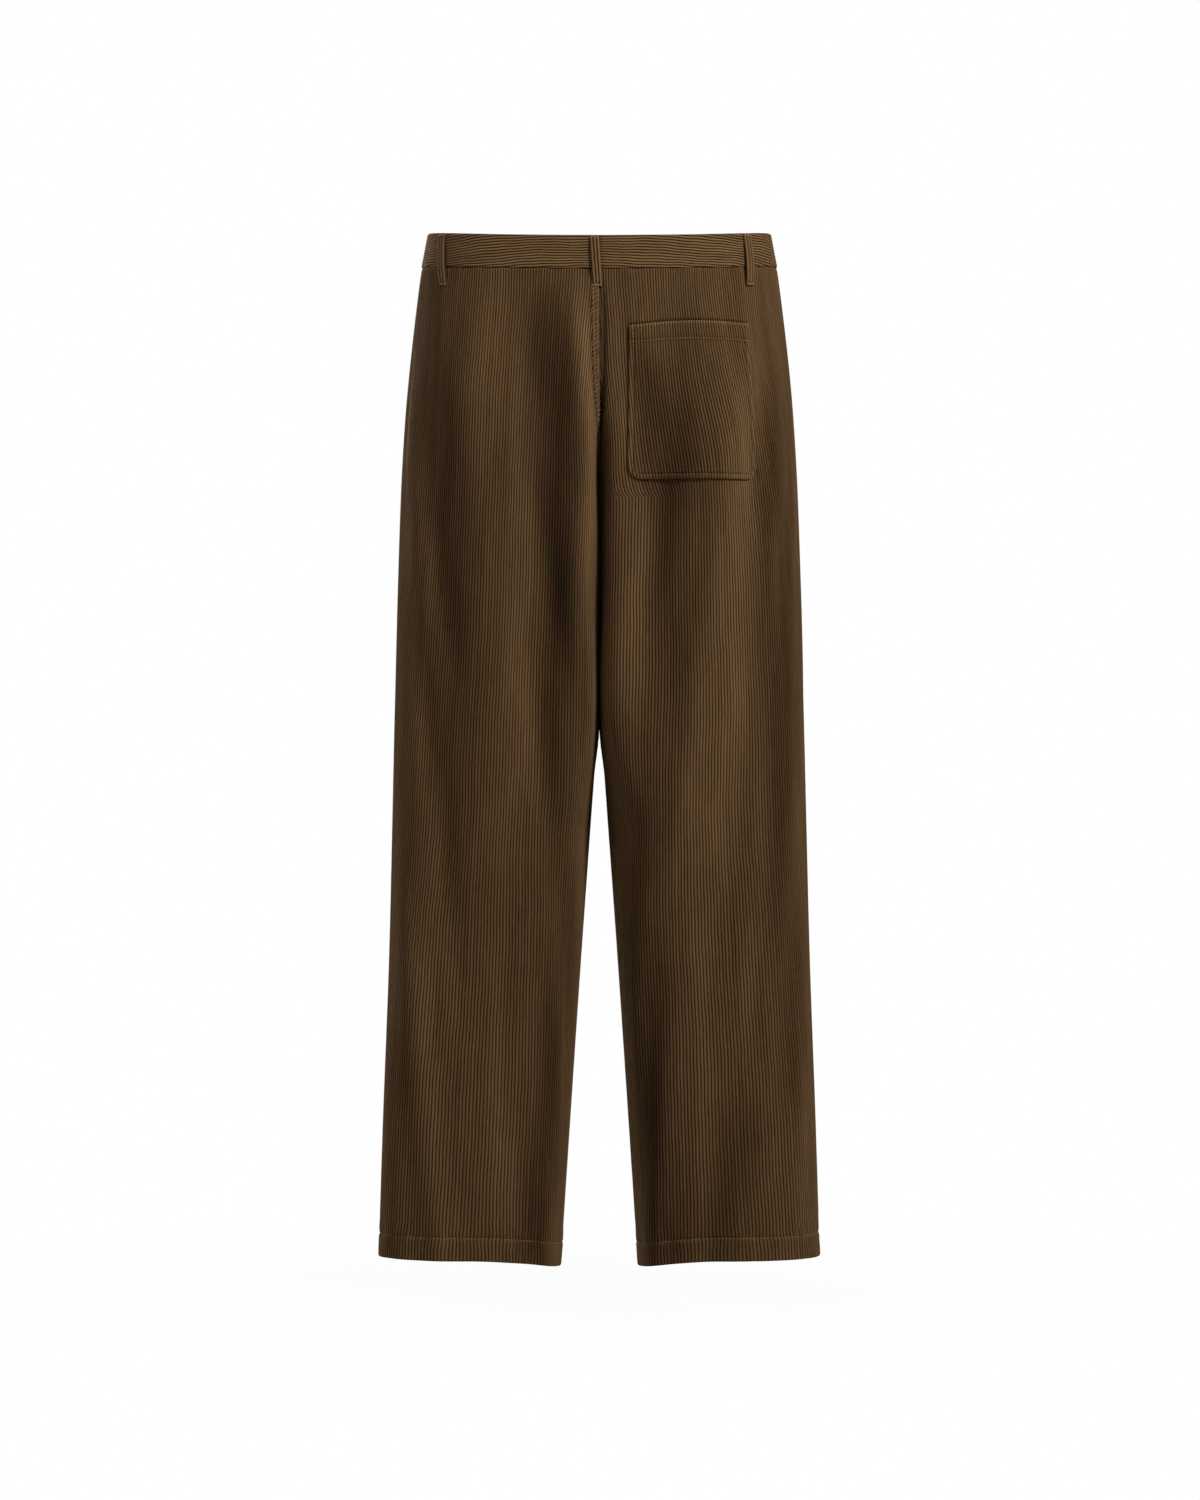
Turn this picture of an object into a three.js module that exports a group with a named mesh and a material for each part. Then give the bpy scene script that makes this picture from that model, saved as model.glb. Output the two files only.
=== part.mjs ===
// Straight-legged corduroy trousers, held in the round shape that they have when worn.
// Millimetres, +Z up. The seat faces -Y and the fly +Y, so the wearer's right is +X.
// The origin is the middle of the waist opening, level with the waistband's top at the sides.
import * as THREE from "three";

// Driving dimensions
const seamGap = 0.3;
const clothWall = 1.8;
const band = { height: 34.3, wall: 2.6, proud: 0.4, rows: 4, columns: 12 };
const centreDip = { back: 10.8, front: 13, power: 1.6, fadesAt: -255 };
const hem = { level: -1069.5, height: 24, wall: 3, innerDrop: 10.5, fadesAt: -720 };
const crotch = { level: -280, backCurveTop: -95, frontCurveTop: -165 };
const roundness = 2.25;
const fly = { bottom: -185, rise: 12, past: 5, clear: 0.6, flat: 2, ramp: 16, lift: 2.3 };
const bandLap = { past: 20, ramp: 26, lift: 3.3 };
const loop = { width: 10, length: 54.5, wall: 2, bow: 2.6, rows: 9, columns: 3 };
const pocket = { wall: 1.5, standOff: 0.8, corner: 12, arch: 4.5, rows: 12, columns: 10 };
const button = { radius: 8.5, thick: 3, hole: 0.9, holeAt: 2 };
const zip = { width: 26, wall: 1.2, top: -40, bottom: -178, rows: 8, columns: 4 };
const panelColumns = { back: 23, front: 18 };
const stretches = [
  { name: "top", bottom: -290 },
  { name: "thigh", bottom: -620 },
  { name: "shin", bottom: hem.level },
];
const corduroy = { color: 0x44321f, roughness: 0.95, metalness: 0 };
const horn = { color: 0x2c1d12, roughness: 0.45, metalness: 0 };
const zipMetal = { color: 0x6b5636, roughness: 0.45, metalness: 0.7 };

// Half of the body, one row for each height: the reach of the side, half the gap between the
// legs, the middle of the leg, and how far the back and the front stand from the side seams.
const sections = [
  { level: 0, side: 179.6, gap: 0.15, middle: 0.15, back: 104, front: 101 },
  { level: -36, side: 185.9, gap: 0.15, middle: 14, back: 109, front: 105 },
  { level: -100, side: 194, gap: 0.15, middle: 42, back: 119, front: 107 },
  { level: -170, side: 201.3, gap: 0.15, middle: 70, back: 125, front: 105 },
  { level: -225, side: 205.3, gap: 0.15, middle: 88, back: 123, front: 102 },
  { level: -280, side: 208, gap: 0.25, middle: 102, back: 115, front: 98 },
  { level: -380, side: 211, gap: 0.5, middle: 106, back: 103, front: 92 },
  { level: -470, side: 213.3, gap: 0.9, middle: 107, back: 95, front: 86 },
  { level: -530, side: 214.9, gap: 3.4, middle: 109, back: 91, front: 82 },
  { level: -600, side: 216.5, gap: 8.2, middle: 112, back: 87, front: 77 },
  { level: -760, side: 220.3, gap: 19.6, middle: 120, back: 80, front: 69 },
  { level: -920, side: 226.3, gap: 30.8, middle: 129, back: 76, front: 62 },
  { level: -1070, side: 231, gap: 41, middle: 136, back: 74, front: 58 },
];

// The largest folds. Each runs from one height to another through three places across the half,
// and stands out by its depth, or sinks in where that is negative.
const folds = [
  { half: "left", face: "back", from: -60, to: -500, x1: 170, x2: 171, x3: 164, width: 15, depth: -3 },
  { half: "left", face: "back", from: -40, to: -760, x1: 138, x2: 130, x3: 118, width: 20, depth: 4 },
  { half: "left", face: "back", from: -40, to: -700, x1: 90, x2: 76, x3: 84, width: 20, depth: -6.5 },
  { half: "left", face: "back", from: -40, to: -420, x1: 32, x2: 26, x3: 30, width: 15, depth: 5 },
  { half: "left", face: "back", from: -620, to: -1000, x1: 88, x2: 96, x3: 108, width: 24, depth: -3 },
  { half: "right", face: "back", from: -110, to: -760, x1: 102, x2: 118, x3: 84, width: 30, depth: 4.5 },
  { half: "right", face: "back", from: -240, to: -520, x1: 158, x2: 157, x3: 152, width: 15, depth: -4 },
  { half: "right", face: "back", from: -200, to: -520, x1: 42, x2: 44, x3: 52, width: 15, depth: -4 },
  { half: "right", face: "back", from: -640, to: -1010, x1: 118, x2: 128, x3: 142, width: 24, depth: -3 },
  { half: "left", face: "front", from: -60, to: -600, x1: 120, x2: 108, x3: 96, width: 20, depth: -4.5 },
  { half: "left", face: "front", from: -120, to: -520, x1: 60, x2: 66, x3: 70, width: 18, depth: 4 },
  { half: "left", face: "front", from: -560, to: -1000, x1: 110, x2: 124, x3: 130, width: 22, depth: -3.5 },
  { half: "right", face: "front", from: -80, to: -640, x1: 112, x2: 118, x3: 104, width: 22, depth: -4 },
  { half: "right", face: "front", from: -150, to: -480, x1: 68, x2: 60, x3: 66, width: 18, depth: 4 },
  { half: "right", face: "front", from: -520, to: -980, x1: 122, x2: 112, x3: 126, width: 22, depth: -3.5 },
];

// The pocket's four corners on the right back, and where each belt loop starts and ends
const pocketCorners = {
  top: -99,
  bottom: -262,
  inTop: 30.5,
  outTop: 152.5,
  inBottom: 29,
  outBottom: 161.5,
};
const loops = [
  { name: "loop_back_centre", half: "left", face: "back", xTop: 5, xBottom: 1.6 },
  { name: "loop_back_left", half: "left", face: "back", xTop: 161.5, xBottom: 160.5 },
  { name: "loop_back_right", half: "right", face: "back", xTop: 151.5, xBottom: 155 },
  { name: "loop_front_left", half: "left", face: "front", xTop: 98, xBottom: 99 },
  { name: "loop_front_right", half: "right", face: "front", xTop: 98, xBottom: 99 },
];

const smoothstep = (t) => THREE.MathUtils.smoothstep(t, 0, 1);
const span = (count, from, to) =>
  Array.from({ length: count + 1 }, (_, i) => from + ((to - from) * i) / count);

// A column of the sections at any height, on a smooth curve through the rows
function sized(column, level) {
  const rows = sections;
  const slope = (a, b) => (rows[b][column] - rows[a][column]) / (rows[b].level - rows[a].level);
  const last = rows.length - 1;
  const next = rows.findIndex((row, i) => i > 0 && row.level <= level);
  const b = next < 0 ? last : next;
  const a = b - 1;
  const run = rows[b].level - rows[a].level;
  const t = THREE.MathUtils.clamp((level - rows[a].level) / run, 0, 1);
  const slopeA = a === 0 ? slope(a, b) : slope(a - 1, b);
  const slopeB = b === last ? slope(a, b) : slope(a, b + 1);
  const t2 = t * t;
  const t3 = t2 * t;
  return (
    (2 * t3 - 3 * t2 + 1) * rows[a][column] +
    (t3 - 2 * t2 + t) * run * slopeA +
    (3 * t2 - 2 * t3) * rows[b][column] +
    (t3 - t2) * run * slopeB
  );
}

// How far the centre seam stands from the side seams: all the way out at the waist, and curved
// in to nothing at the crotch
function seamReach(face, level) {
  const top = face === "back" ? crotch.backCurveTop : crotch.frontCurveTop;
  const t = THREE.MathUtils.clamp((top - level) / (top - crotch.level), 0, 1);
  return Math.max(sized(face, level) * Math.sqrt(1 - t * t), seamGap / 2);
}

// Sums the folds of one panel at a point of its section. The place of a fold is given across the
// half, and its width is measured along the cloth.
function foldDepth(half, face, level, curve, at) {
  let depth = 0;
  for (const fold of folds) {
    if (fold.half !== half || fold.face !== face) continue;
    const t = (level - fold.from) / (fold.to - fold.from);
    if (t <= 0 || t >= 1) continue;
    const x =
      fold.x1 * (1 - t) * (1 - 2 * t) + fold.x2 * 4 * t * (1 - t) + fold.x3 * t * (2 * t - 1);
    const away = (at - lengthAtX(curve, x)) / fold.width;
    const ends = smoothstep(t / 0.22) * smoothstep((1 - t) / 0.3);
    depth += fold.depth * ends * Math.exp(-away * away);
  }
  return depth;
}

// The length along a curve where it crosses x
function lengthAtX(curve, x) {
  const b = Math.max(1, curve.findIndex((p) => p.x >= x));
  const [p, q] = [curve[b - 1], curve[b]];
  return p.along + ((q.along - p.along) * (x - p.x)) / Math.max(q.x - p.x, 1e-6);
}

// Adds each point's length along its curve, and leaves out points that lie on the one before
function measured(points) {
  const curve = [{ ...points[0], along: 0 }];
  for (const p of points.slice(1)) {
    const before = curve.at(-1);
    const step = Math.hypot(p.x - before.x, p.out - before.out);
    if (step > 0.02) curve.push({ ...p, along: before.along + step });
  }
  return curve;
}

// The outward direction at a point of a curve that runs from the centre seam to the side seam
function outward(curve, i) {
  const p = curve[Math.max(i - 1, 0)];
  const q = curve[Math.min(i + 1, curve.length - 1)];
  const length = Math.hypot(q.x - p.x, q.out - p.out) || 1;
  return { x: -(q.out - p.out) / length, out: (q.x - p.x) / length };
}

const curveSteps = 60;
const curves = new Map();

// One panel's section: points from the centre seam or the inseam to the side seam, where x is
// the distance across from the body's middle, and out is the distance from the side seams' plane
function sectionCurve(half, face, level) {
  const key = [half, face, level.toFixed(3)].join();
  if (curves.has(key)) return curves.get(key);
  const inner = sized("gap", level);
  const middle = Math.max(sized("middle", level), inner + 0.01);
  const side = sized("side", level);
  const reach = sized(face, level);
  const cut = 1 - (seamReach(face, level) / reach) ** roundness;
  const bowed = (t, share) => reach * Math.max(1 - share * t ** roundness, 0) ** (1 / roundness);
  const points = [];
  for (const angle of span(curveSteps, 0, Math.PI / 2)) {
    const t = Math.cos(angle);
    points.push({ x: middle - (middle - inner) * t, out: bowed(t, cut) });
  }
  for (const angle of span(curveSteps, 0, Math.PI / 2).slice(1)) {
    const t = Math.sin(angle);
    points.push({ x: middle + (side - middle) * t, out: bowed(t, 1) });
  }
  const plain = measured(points);
  const length = plain.at(-1).along;
  const folded = plain.map((p, i) => {
    const edge = smoothstep(p.along / 10) * smoothstep((length - p.along) / 35);
    const depth = foldDepth(half, face, level, plain, p.along) * edge;
    const n = outward(plain, i);
    return { x: Math.max(p.x + n.x * depth, inner), out: Math.max(p.out + n.out * depth, 0) };
  });
  const curve = measured(folded);
  curves.set(key, curve);
  return curve;
}

// The height of a point: the waist dips towards the centre back and front, and the hem hangs
// lower inside the leg
function heightAt(face, level, x, out) {
  const waist = smoothstep(1 - level / centreDip.fadesAt);
  const dip = centreDip[face] * waist * (out / sized(face, level)) ** centreDip.power;
  const low = smoothstep((hem.fadesAt - level) / (hem.fadesAt - hem.level));
  const middle = sized("middle", level);
  const innerHalf = Math.max(middle - sized("gap", level), 1);
  const inside = THREE.MathUtils.clamp((middle - x) / innerHalf, 0, 1);
  return level - dip - hem.innerDrop * low * inside * inside;
}

// A point of a panel, moved out by some distance. along is the length from the centre seam, and
// past that seam the cloth follows the other half's shape.
function clothPoint(half, face, level, along, moved = 0) {
  const curve = sectionCurve(half, face, level);
  const place = Math.abs(along);
  const across = along < 0 ? -1 : 1;
  const found = curve.findIndex((p) => p.along >= place);
  const b = THREE.MathUtils.clamp(found < 0 ? curve.length - 1 : found, 1, curve.length - 1);
  const [p, q] = [curve[b - 1], curve[b]];
  const t = (place - p.along) / (q.along - p.along);
  const [m, n] = [outward(curve, b - 1), outward(curve, b)];
  const plainX = p.x + (q.x - p.x) * t;
  const plainOut = p.out + (q.out - p.out) * t;
  const z = heightAt(face, level, plainX, plainOut);
  const x = across * (plainX + moved * (m.x + (n.x - m.x) * t));
  const out = plainOut + moved * (m.out + (n.out - m.out) * t);
  return new THREE.Vector3(half === "left" ? -x : x, face === "back" ? -out : out, z);
}

// A closed wall between two grids of points. turned says that its outer side faces the other way.
function wallGeometry(outer, inner, turned) {
  const rows = outer.length;
  const columns = outer[0].length;
  const positions = [...outer.flat(), ...inner.flat()].flatMap((p) => p.toArray());
  const index = [];
  const at = (layer, i, j) => layer * rows * columns + i * columns + j;
  const quad = (a, b, c, d) => {
    const corners = turned ? [a, c, b, a, d, c] : [a, b, c, a, c, d];
    index.push(...corners);
  };
  for (let i = 0; i < rows - 1; i++) {
    for (let j = 0; j < columns - 1; j++) {
      quad(at(0, i, j), at(0, i + 1, j), at(0, i + 1, j + 1), at(0, i, j + 1));
      quad(at(1, i, j), at(1, i, j + 1), at(1, i + 1, j + 1), at(1, i + 1, j));
    }
    quad(at(0, i, 0), at(1, i, 0), at(1, i + 1, 0), at(0, i + 1, 0));
    const j = columns - 1;
    quad(at(0, i, j), at(0, i + 1, j), at(1, i + 1, j), at(1, i, j));
  }
  for (let j = 0; j < columns - 1; j++) {
    quad(at(0, 0, j), at(0, 0, j + 1), at(1, 0, j + 1), at(1, 0, j));
    const i = rows - 1;
    quad(at(0, i, j), at(1, i, j), at(1, i, j + 1), at(0, i, j + 1));
  }
  const geometry = new THREE.BufferGeometry();
  geometry.setAttribute("position", new THREE.Float32BufferAttribute(positions, 3));
  geometry.setIndex(index);
  geometry.computeVertexNormals();
  return geometry;
}

const isTurned = (half, face) => (half === "left") !== (face === "front");

function makeMesh(name, geometry, look) {
  const mesh = new THREE.Mesh(geometry, new THREE.MeshStandardMaterial(look));
  mesh.name = name;
  return mesh;
}

// Heights of a leg panel's rows: close together round the crotch and at the hem
function panelLevels() {
  return [
    ...span(5, -band.height - seamGap, fly.bottom + fly.rise + 2),
    fly.bottom + fly.rise,
    fly.bottom,
    -205, -222, -238, -252, -263, -271, -277, crotch.level, -290,
    ...span(12, -315, hem.level + hem.height + 22),
    hem.level + hem.height,
    hem.level + hem.height - 2,
    hem.level,
  ];
}

// The rows of one stretch of a panel. Each panel is made in stretches of simple form, which stand
// a seam's gap apart.
function stretchLevels(number) {
  const rows = panelLevels();
  const top = number === 0 ? rows[0] : stretches[number - 1].bottom - seamGap;
  const { bottom } = stretches[number];
  return [top, ...rows.filter((level) => level < top - 3 && level > bottom + 1), bottom];
}

// How far the left front is moved out beside the fly, and how far it runs past the centre front.
// It keeps clear of the right front until it is moved out all the way.
function flyLap(level, along) {
  const rise = (level - fly.bottom) / fly.rise;
  return {
    lift: fly.lift * smoothstep(rise) * smoothstep(1 - (along - fly.flat) / fly.ramp),
    past: rise > 1.01 ? fly.past : -fly.clear * smoothstep(rise),
  };
}

// The lapping panel has columns of its own along the lap's edge and down its slope
function lapPlaces(level, length) {
  const slopeEnd = fly.flat + fly.ramp;
  const edge = [-flyLap(level, 0).past, fly.flat, (fly.flat + slopeEnd) / 2];
  return [...edge, ...span(panelColumns.front - edge.length, slopeEnd, length)];
}

function legPanel(half, face, number) {
  const laps = half === "left" && face === "front";
  const outer = [];
  const inner = [];
  for (const level of stretchLevels(number)) {
    const length = sectionCurve(half, face, level).at(-1).along - seamGap * 0.65;
    const wall = level < hem.level + hem.height - 1 ? hem.wall : clothWall;
    const places = laps ? lapPlaces(level, length) : span(panelColumns[face], 0, length);
    const lift = (along) => (laps ? flyLap(level, along).lift : 0);
    outer.push(places.map((along) => clothPoint(half, face, level, along, lift(along))));
    inner.push(places.map((along) => clothPoint(half, face, level, along, lift(along) - wall)));
  }
  const name = [face, half, stretches[number].name].join("_");
  return makeMesh(name, wallGeometry(outer, inner, isTurned(half, face)), corduroy);
}

// Half of the waistband, from the centre back round the side to the centre front. The left half
// runs on over the right one.
function waistband(half) {
  const laps = half === "left";
  const outer = [];
  const inner = [];
  for (const level of span(band.rows, 0, -band.height)) {
    const back = sectionCurve(half, "back", level).at(-1).along;
    const front = sectionCurve(half, "front", level).at(-1).along;
    const slope = back + front - bandLap.ramp;
    const places = [...span(band.columns, 0, back), ...span(band.columns, back, slope).slice(1)];
    places.push(...span(2, slope, back + front).slice(1));
    if (laps) places.push(back + front + bandLap.past);
    const pointAt = (place, moved) => {
      if (place <= back) return clothPoint(half, "back", level, place, moved);
      const along = back + front - place;
      const lift = laps ? bandLap.lift * smoothstep(1 - along / bandLap.ramp) : 0;
      return clothPoint(half, "front", level, along, moved + lift);
    };
    outer.push(places.map((place) => pointAt(place, band.proud)));
    inner.push(places.map((place) => pointAt(place, band.proud - band.wall)));
  }
  return makeMesh("waistband_" + half, wallGeometry(outer, inner, half === "left"), corduroy);
}

// A belt loop: its ends lie on the cloth and its middle bows out over the waistband
function beltLoop({ name, half, face, xTop, xBottom }) {
  const outer = [];
  const inner = [];
  for (const share of span(loop.rows, 0, 1)) {
    const level = -share * loop.length;
    const x = THREE.MathUtils.lerp(xTop, xBottom, share);
    const middle = lengthAtX(sectionCurve(half, face, level), x);
    const places = span(loop.columns, middle - loop.width / 2, middle + loop.width / 2);
    const seat = seamGap + band.proud * (1 - share) + 0.1;
    const bow = seat + loop.bow * Math.sin(Math.PI * share) ** 0.8;
    outer.push(places.map((along) => clothPoint(half, face, level, along, bow + loop.wall)));
    inner.push(places.map((along) => clothPoint(half, face, level, along, bow)));
  }
  return makeMesh(name, wallGeometry(outer, inner, isTurned(half, face)), corduroy);
}

// The patch pocket lies on the right back panel. Its lower corners are rounded, and its top edge
// rises to the middle.
function backPocket() {
  const c = pocketCorners;
  const height = c.top - c.bottom;
  const outer = [];
  const inner = [];
  const cornerDrops = [0, 0.35, 0.65, 0.88, 1].map((t) => t * pocket.corner);
  const drops = [...span(pocket.rows, 0, height - pocket.corner).slice(0, -1)];
  drops.push(...cornerDrops.map((drop) => height - pocket.corner + drop));
  for (const drop of drops) {
    const share = drop / height;
    const into = Math.max(drop - (height - pocket.corner), 0) / pocket.corner;
    const trim = pocket.corner * (1 - Math.sqrt(Math.max(1 - into * into, 0)));
    const level = c.top - drop;
    const curve = sectionCurve("right", "back", level);
    const from = lengthAtX(curve, THREE.MathUtils.lerp(c.inTop, c.inBottom, share)) + trim;
    const to = lengthAtX(curve, THREE.MathUtils.lerp(c.outTop, c.outBottom, share)) - trim;
    const row = (moved) =>
      span(pocket.columns, 0, 1).map((t) => {
        const rise = pocket.arch * (1 - share) * Math.sin(Math.PI * t);
        return clothPoint("right", "back", level + rise, from + (to - from) * t, moved);
      });
    outer.push(row(pocket.standOff + pocket.wall));
    inner.push(row(pocket.standOff));
  }
  return makeMesh("back_pocket", wallGeometry(outer, inner, false), corduroy);
}

// The closed zip, a strip behind both sides of the fly
function flyZip() {
  const outer = [];
  const inner = [];
  const behind = clothWall + seamGap;
  for (const level of span(zip.rows, zip.top, zip.bottom)) {
    const row = (moved) =>
      span(zip.columns, zip.width / 2, -zip.width / 2).map((x) =>
        clothPoint("right", "front", level, x, moved),
      );
    outer.push(row(-behind));
    inner.push(row(-behind - zip.wall));
  }
  return makeMesh("fly_zip", wallGeometry(outer, inner, false), zipMetal);
}

// A four-hole button on the waistband's lap
function waistButton() {
  const outline = new THREE.Shape();
  outline.absarc(0, 0, button.radius - 0.5, 0, Math.PI * 2);
  for (const angle of span(3, Math.PI / 4, (7 * Math.PI) / 4)) {
    const hole = new THREE.Path();
    const x = button.holeAt * Math.cos(angle);
    const y = button.holeAt * Math.sin(angle);
    hole.absarc(x, y, button.hole, 0, Math.PI * 2, true);
    outline.holes.push(hole);
  }
  const geometry = new THREE.ExtrudeGeometry(outline, {
    depth: button.thick - 1,
    curveSegments: 8,
    bevelSize: 0.5,
    bevelThickness: 0.5,
    bevelSegments: 1,
  });
  const mesh = makeMesh("waist_button", geometry, horn);
  const onLap = (level, moved) =>
    clothPoint("right", "front", level, bandLap.past / 2, band.proud + bandLap.lift + moved);
  const middle = -band.height / 2;
  const down = onLap(middle - 5, 0).sub(onLap(middle + 5, 0));
  mesh.position.copy(onLap(middle, seamGap + 0.5));
  mesh.rotation.x = -Math.PI / 2 + Math.atan2(down.y, -down.z);
  return mesh;
}

const trousers = new THREE.Group();
for (const half of ["left", "right"]) {
  for (const number of stretches.keys()) {
    trousers.add(legPanel(half, "back", number), legPanel(half, "front", number));
  }
  trousers.add(waistband(half));
}
trousers.add(...loops.map(beltLoop), backPocket(), flyZip(), waistButton());

export default trousers;
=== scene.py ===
import math

import bpy
import numpy as np
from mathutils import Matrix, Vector


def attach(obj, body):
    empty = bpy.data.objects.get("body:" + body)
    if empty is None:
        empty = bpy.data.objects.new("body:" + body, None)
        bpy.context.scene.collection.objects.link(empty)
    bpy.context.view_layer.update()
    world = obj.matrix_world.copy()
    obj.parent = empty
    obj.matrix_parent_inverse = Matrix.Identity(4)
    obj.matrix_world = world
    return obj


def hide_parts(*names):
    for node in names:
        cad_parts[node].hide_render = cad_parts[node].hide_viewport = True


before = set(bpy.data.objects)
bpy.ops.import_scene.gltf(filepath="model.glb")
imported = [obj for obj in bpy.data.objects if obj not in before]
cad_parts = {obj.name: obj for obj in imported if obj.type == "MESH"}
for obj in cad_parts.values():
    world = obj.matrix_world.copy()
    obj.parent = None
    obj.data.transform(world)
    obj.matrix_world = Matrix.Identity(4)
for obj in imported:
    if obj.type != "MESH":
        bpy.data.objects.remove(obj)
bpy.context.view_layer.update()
scene = bpy.context.scene
print("frame loaded")

# Camera: level and square to the seat, as in the photograph
shot = {"aside": 0.0007, "distance": 5.2, "height": -0.54, "lens": 118.86}
camera = bpy.data.objects.new("camera", bpy.data.cameras.new("camera"))
camera.location = (shot["aside"], -shot["distance"], shot["height"])
camera.rotation_euler = (math.pi / 2, 0, 0)
camera.data.lens = shot["lens"]
scene.collection.objects.link(camera)
scene.camera = camera
scene.view_settings.view_transform = "Standard"


def feed(tree, socket, value):
    if isinstance(value, bpy.types.NodeSocket):
        tree.links.new(value, socket)
    else:
        socket.default_value = value


def addNode(tree, kind, *values, **settings):
    node = tree.nodes.new(kind)
    for key, value in settings.items():
        setattr(node, key, value)
    for socket, value in zip(node.inputs, values):
        if value is not None:
            feed(tree, socket, value)
    return node


def calc(tree, operation, *values):
    return addNode(tree, "ShaderNodeMath", *values, operation=operation).outputs[0]


# Soft studio light: a pale world, a broad key light from the upper right and a weak fill
lights = [
    {"name": "keyLight", "place": (3.1, -3.2, 2.6), "size": 1.0, "watts": 290},
    {"name": "fillLight", "place": (-3.5, -2.4, 0.8), "size": 2.2, "watts": 46},
    {"name": "rimLight", "place": (2.4, 2.6, 0.8), "size": 1.6, "watts": 4},
    {"name": "farRimLight", "place": (-2.8, 2.0, 0.2), "size": 1.8, "watts": 16},
    {"name": "frontLight", "place": (-2.7, 4.1, 1.6), "size": 1.6, "watts": 250},
]
worldTone = {"seen": 1.0, "given": 0.05}


def lightStage():
    for light in lights:
        lamp = bpy.data.lights.new(light["name"], "AREA")
        lamp.size = light["size"]
        lamp.energy = light["watts"]
        holder = bpy.data.objects.new(light["name"], lamp)
        holder.location = light["place"]
        toward = Vector((0, 0, -0.5)) - holder.location
        holder.rotation_euler = toward.to_track_quat("-Z", "Y").to_euler()
        scene.collection.objects.link(holder)
    world = bpy.data.worlds.new("studio")
    world.use_nodes = True
    scene.world = world
    tree = world.node_tree
    tree.nodes.clear()
    path = addNode(tree, "ShaderNodeLightPath")
    given = addNode(tree, "ShaderNodeBackground", (1, 1, 1, 1), worldTone["given"])
    seen = addNode(tree, "ShaderNodeBackground", (1, 1, 1, 1), worldTone["seen"])
    both = addNode(tree, "ShaderNodeMixShader", path.outputs["Is Camera Ray"])
    feed(tree, both.inputs[1], given.outputs[0])
    feed(tree, both.inputs[2], seen.outputs[0])
    addNode(tree, "ShaderNodeOutputWorld", both.outputs[0])
    floorMesh = bpy.data.meshes.new("floor")
    reach, level = 60.0, -1.102
    corners = [(x * reach, y * reach, level) for x, y in ((-1, -1), (1, -1), (1, 1), (-1, 1))]
    floorMesh.from_pydata(corners, [], [(0, 1, 2, 3)])
    floor = bpy.data.objects.new("floor", floorMesh)
    scene.collection.objects.link(floor)
    paint = bpy.data.materials.new("paleFloor")
    paint.use_nodes = True
    tree = paint.node_tree
    tree.nodes.clear()
    glow = addNode(tree, "ShaderNodeEmission", (1, 1, 1, 1), 1.0)
    dull = addNode(tree, "ShaderNodeBsdfDiffuse", (0.3, 0.3, 0.3, 1))
    path = addNode(tree, "ShaderNodeLightPath")
    coordinates = addNode(tree, "ShaderNodeTexCoord").outputs["Object"]
    away = addNode(tree, "ShaderNodeVectorMath", coordinates, operation="LENGTH").outputs["Value"]
    share = calc(tree, "MINIMUM", calc(tree, "MULTIPLY_ADD", away, 0.12, 0.84), 1.0)
    share = calc(tree, "MULTIPLY", path.outputs["Is Camera Ray"], share)
    both = addNode(tree, "ShaderNodeMixShader", share, dull.outputs[0], glow.outputs[0])
    addNode(tree, "ShaderNodeOutputMaterial", both.outputs[0])
    floorMesh.materials.append(paint)


lightStage()
print("camera and light set")


def blendColour(tree, factor, first, second):
    node = addNode(tree, "ShaderNodeMix", data_type="RGBA")
    feed(tree, node.inputs[0], factor)
    feed(tree, node.inputs[6], first)
    feed(tree, node.inputs[7], second)
    return node.outputs[2]


def joinAxes(tree, x, y, z=0.0):
    return addNode(tree, "ShaderNodeCombineXYZ", x, y, z).outputs[0]


def cloudy(tree, vector, scale, detail=2.0):
    node = addNode(tree, "ShaderNodeTexNoise")
    feed(tree, node.inputs["Vector"], vector)
    feed(tree, node.inputs["Scale"], scale)
    feed(tree, node.inputs["Detail"], detail)
    return node.outputs["Fac"]


def newMaterial(name, roughness, specular):
    material = bpy.data.materials.new(name)
    material.use_nodes = True
    tree = material.node_tree
    tree.nodes.clear()
    shader = addNode(tree, "ShaderNodeBsdfPrincipled")
    feed(tree, shader.inputs["Roughness"], roughness)
    feed(tree, shader.inputs["Specular IOR Level"], specular)
    addNode(tree, "ShaderNodeOutputMaterial", shader.outputs[0])
    return material, tree, shader


def bumped(tree, shader, height, distance, strength=1.0):
    node = addNode(tree, "ShaderNodeBump")
    feed(tree, node.inputs["Strength"], strength)
    feed(tree, node.inputs["Distance"], distance)
    feed(tree, node.inputs["Height"], height)
    feed(tree, shader.inputs["Normal"], node.outputs[0])


pileLook = {
    "roughness": 0.92, "specular": 0.06,
    "sheen": 0.14, "sheenRoughness": 0.5, "sheenTint": (0.9, 0.58, 0.34, 1),
    "dark": (0.062, 0.0285, 0.0086, 1), "light": (0.188, 0.111, 0.0505, 1),
    "valleyShade": (0.0105, 0.0042, 0.0011, 1), "valleyShadePower": 1.6, "valleyShadeShare": 0.95,
    "paintedShadingTone": 0.35, "paintedShadingGain": 0.7, "leastGain": 0.3, "tuftHeight": 0.00025,
}


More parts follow.
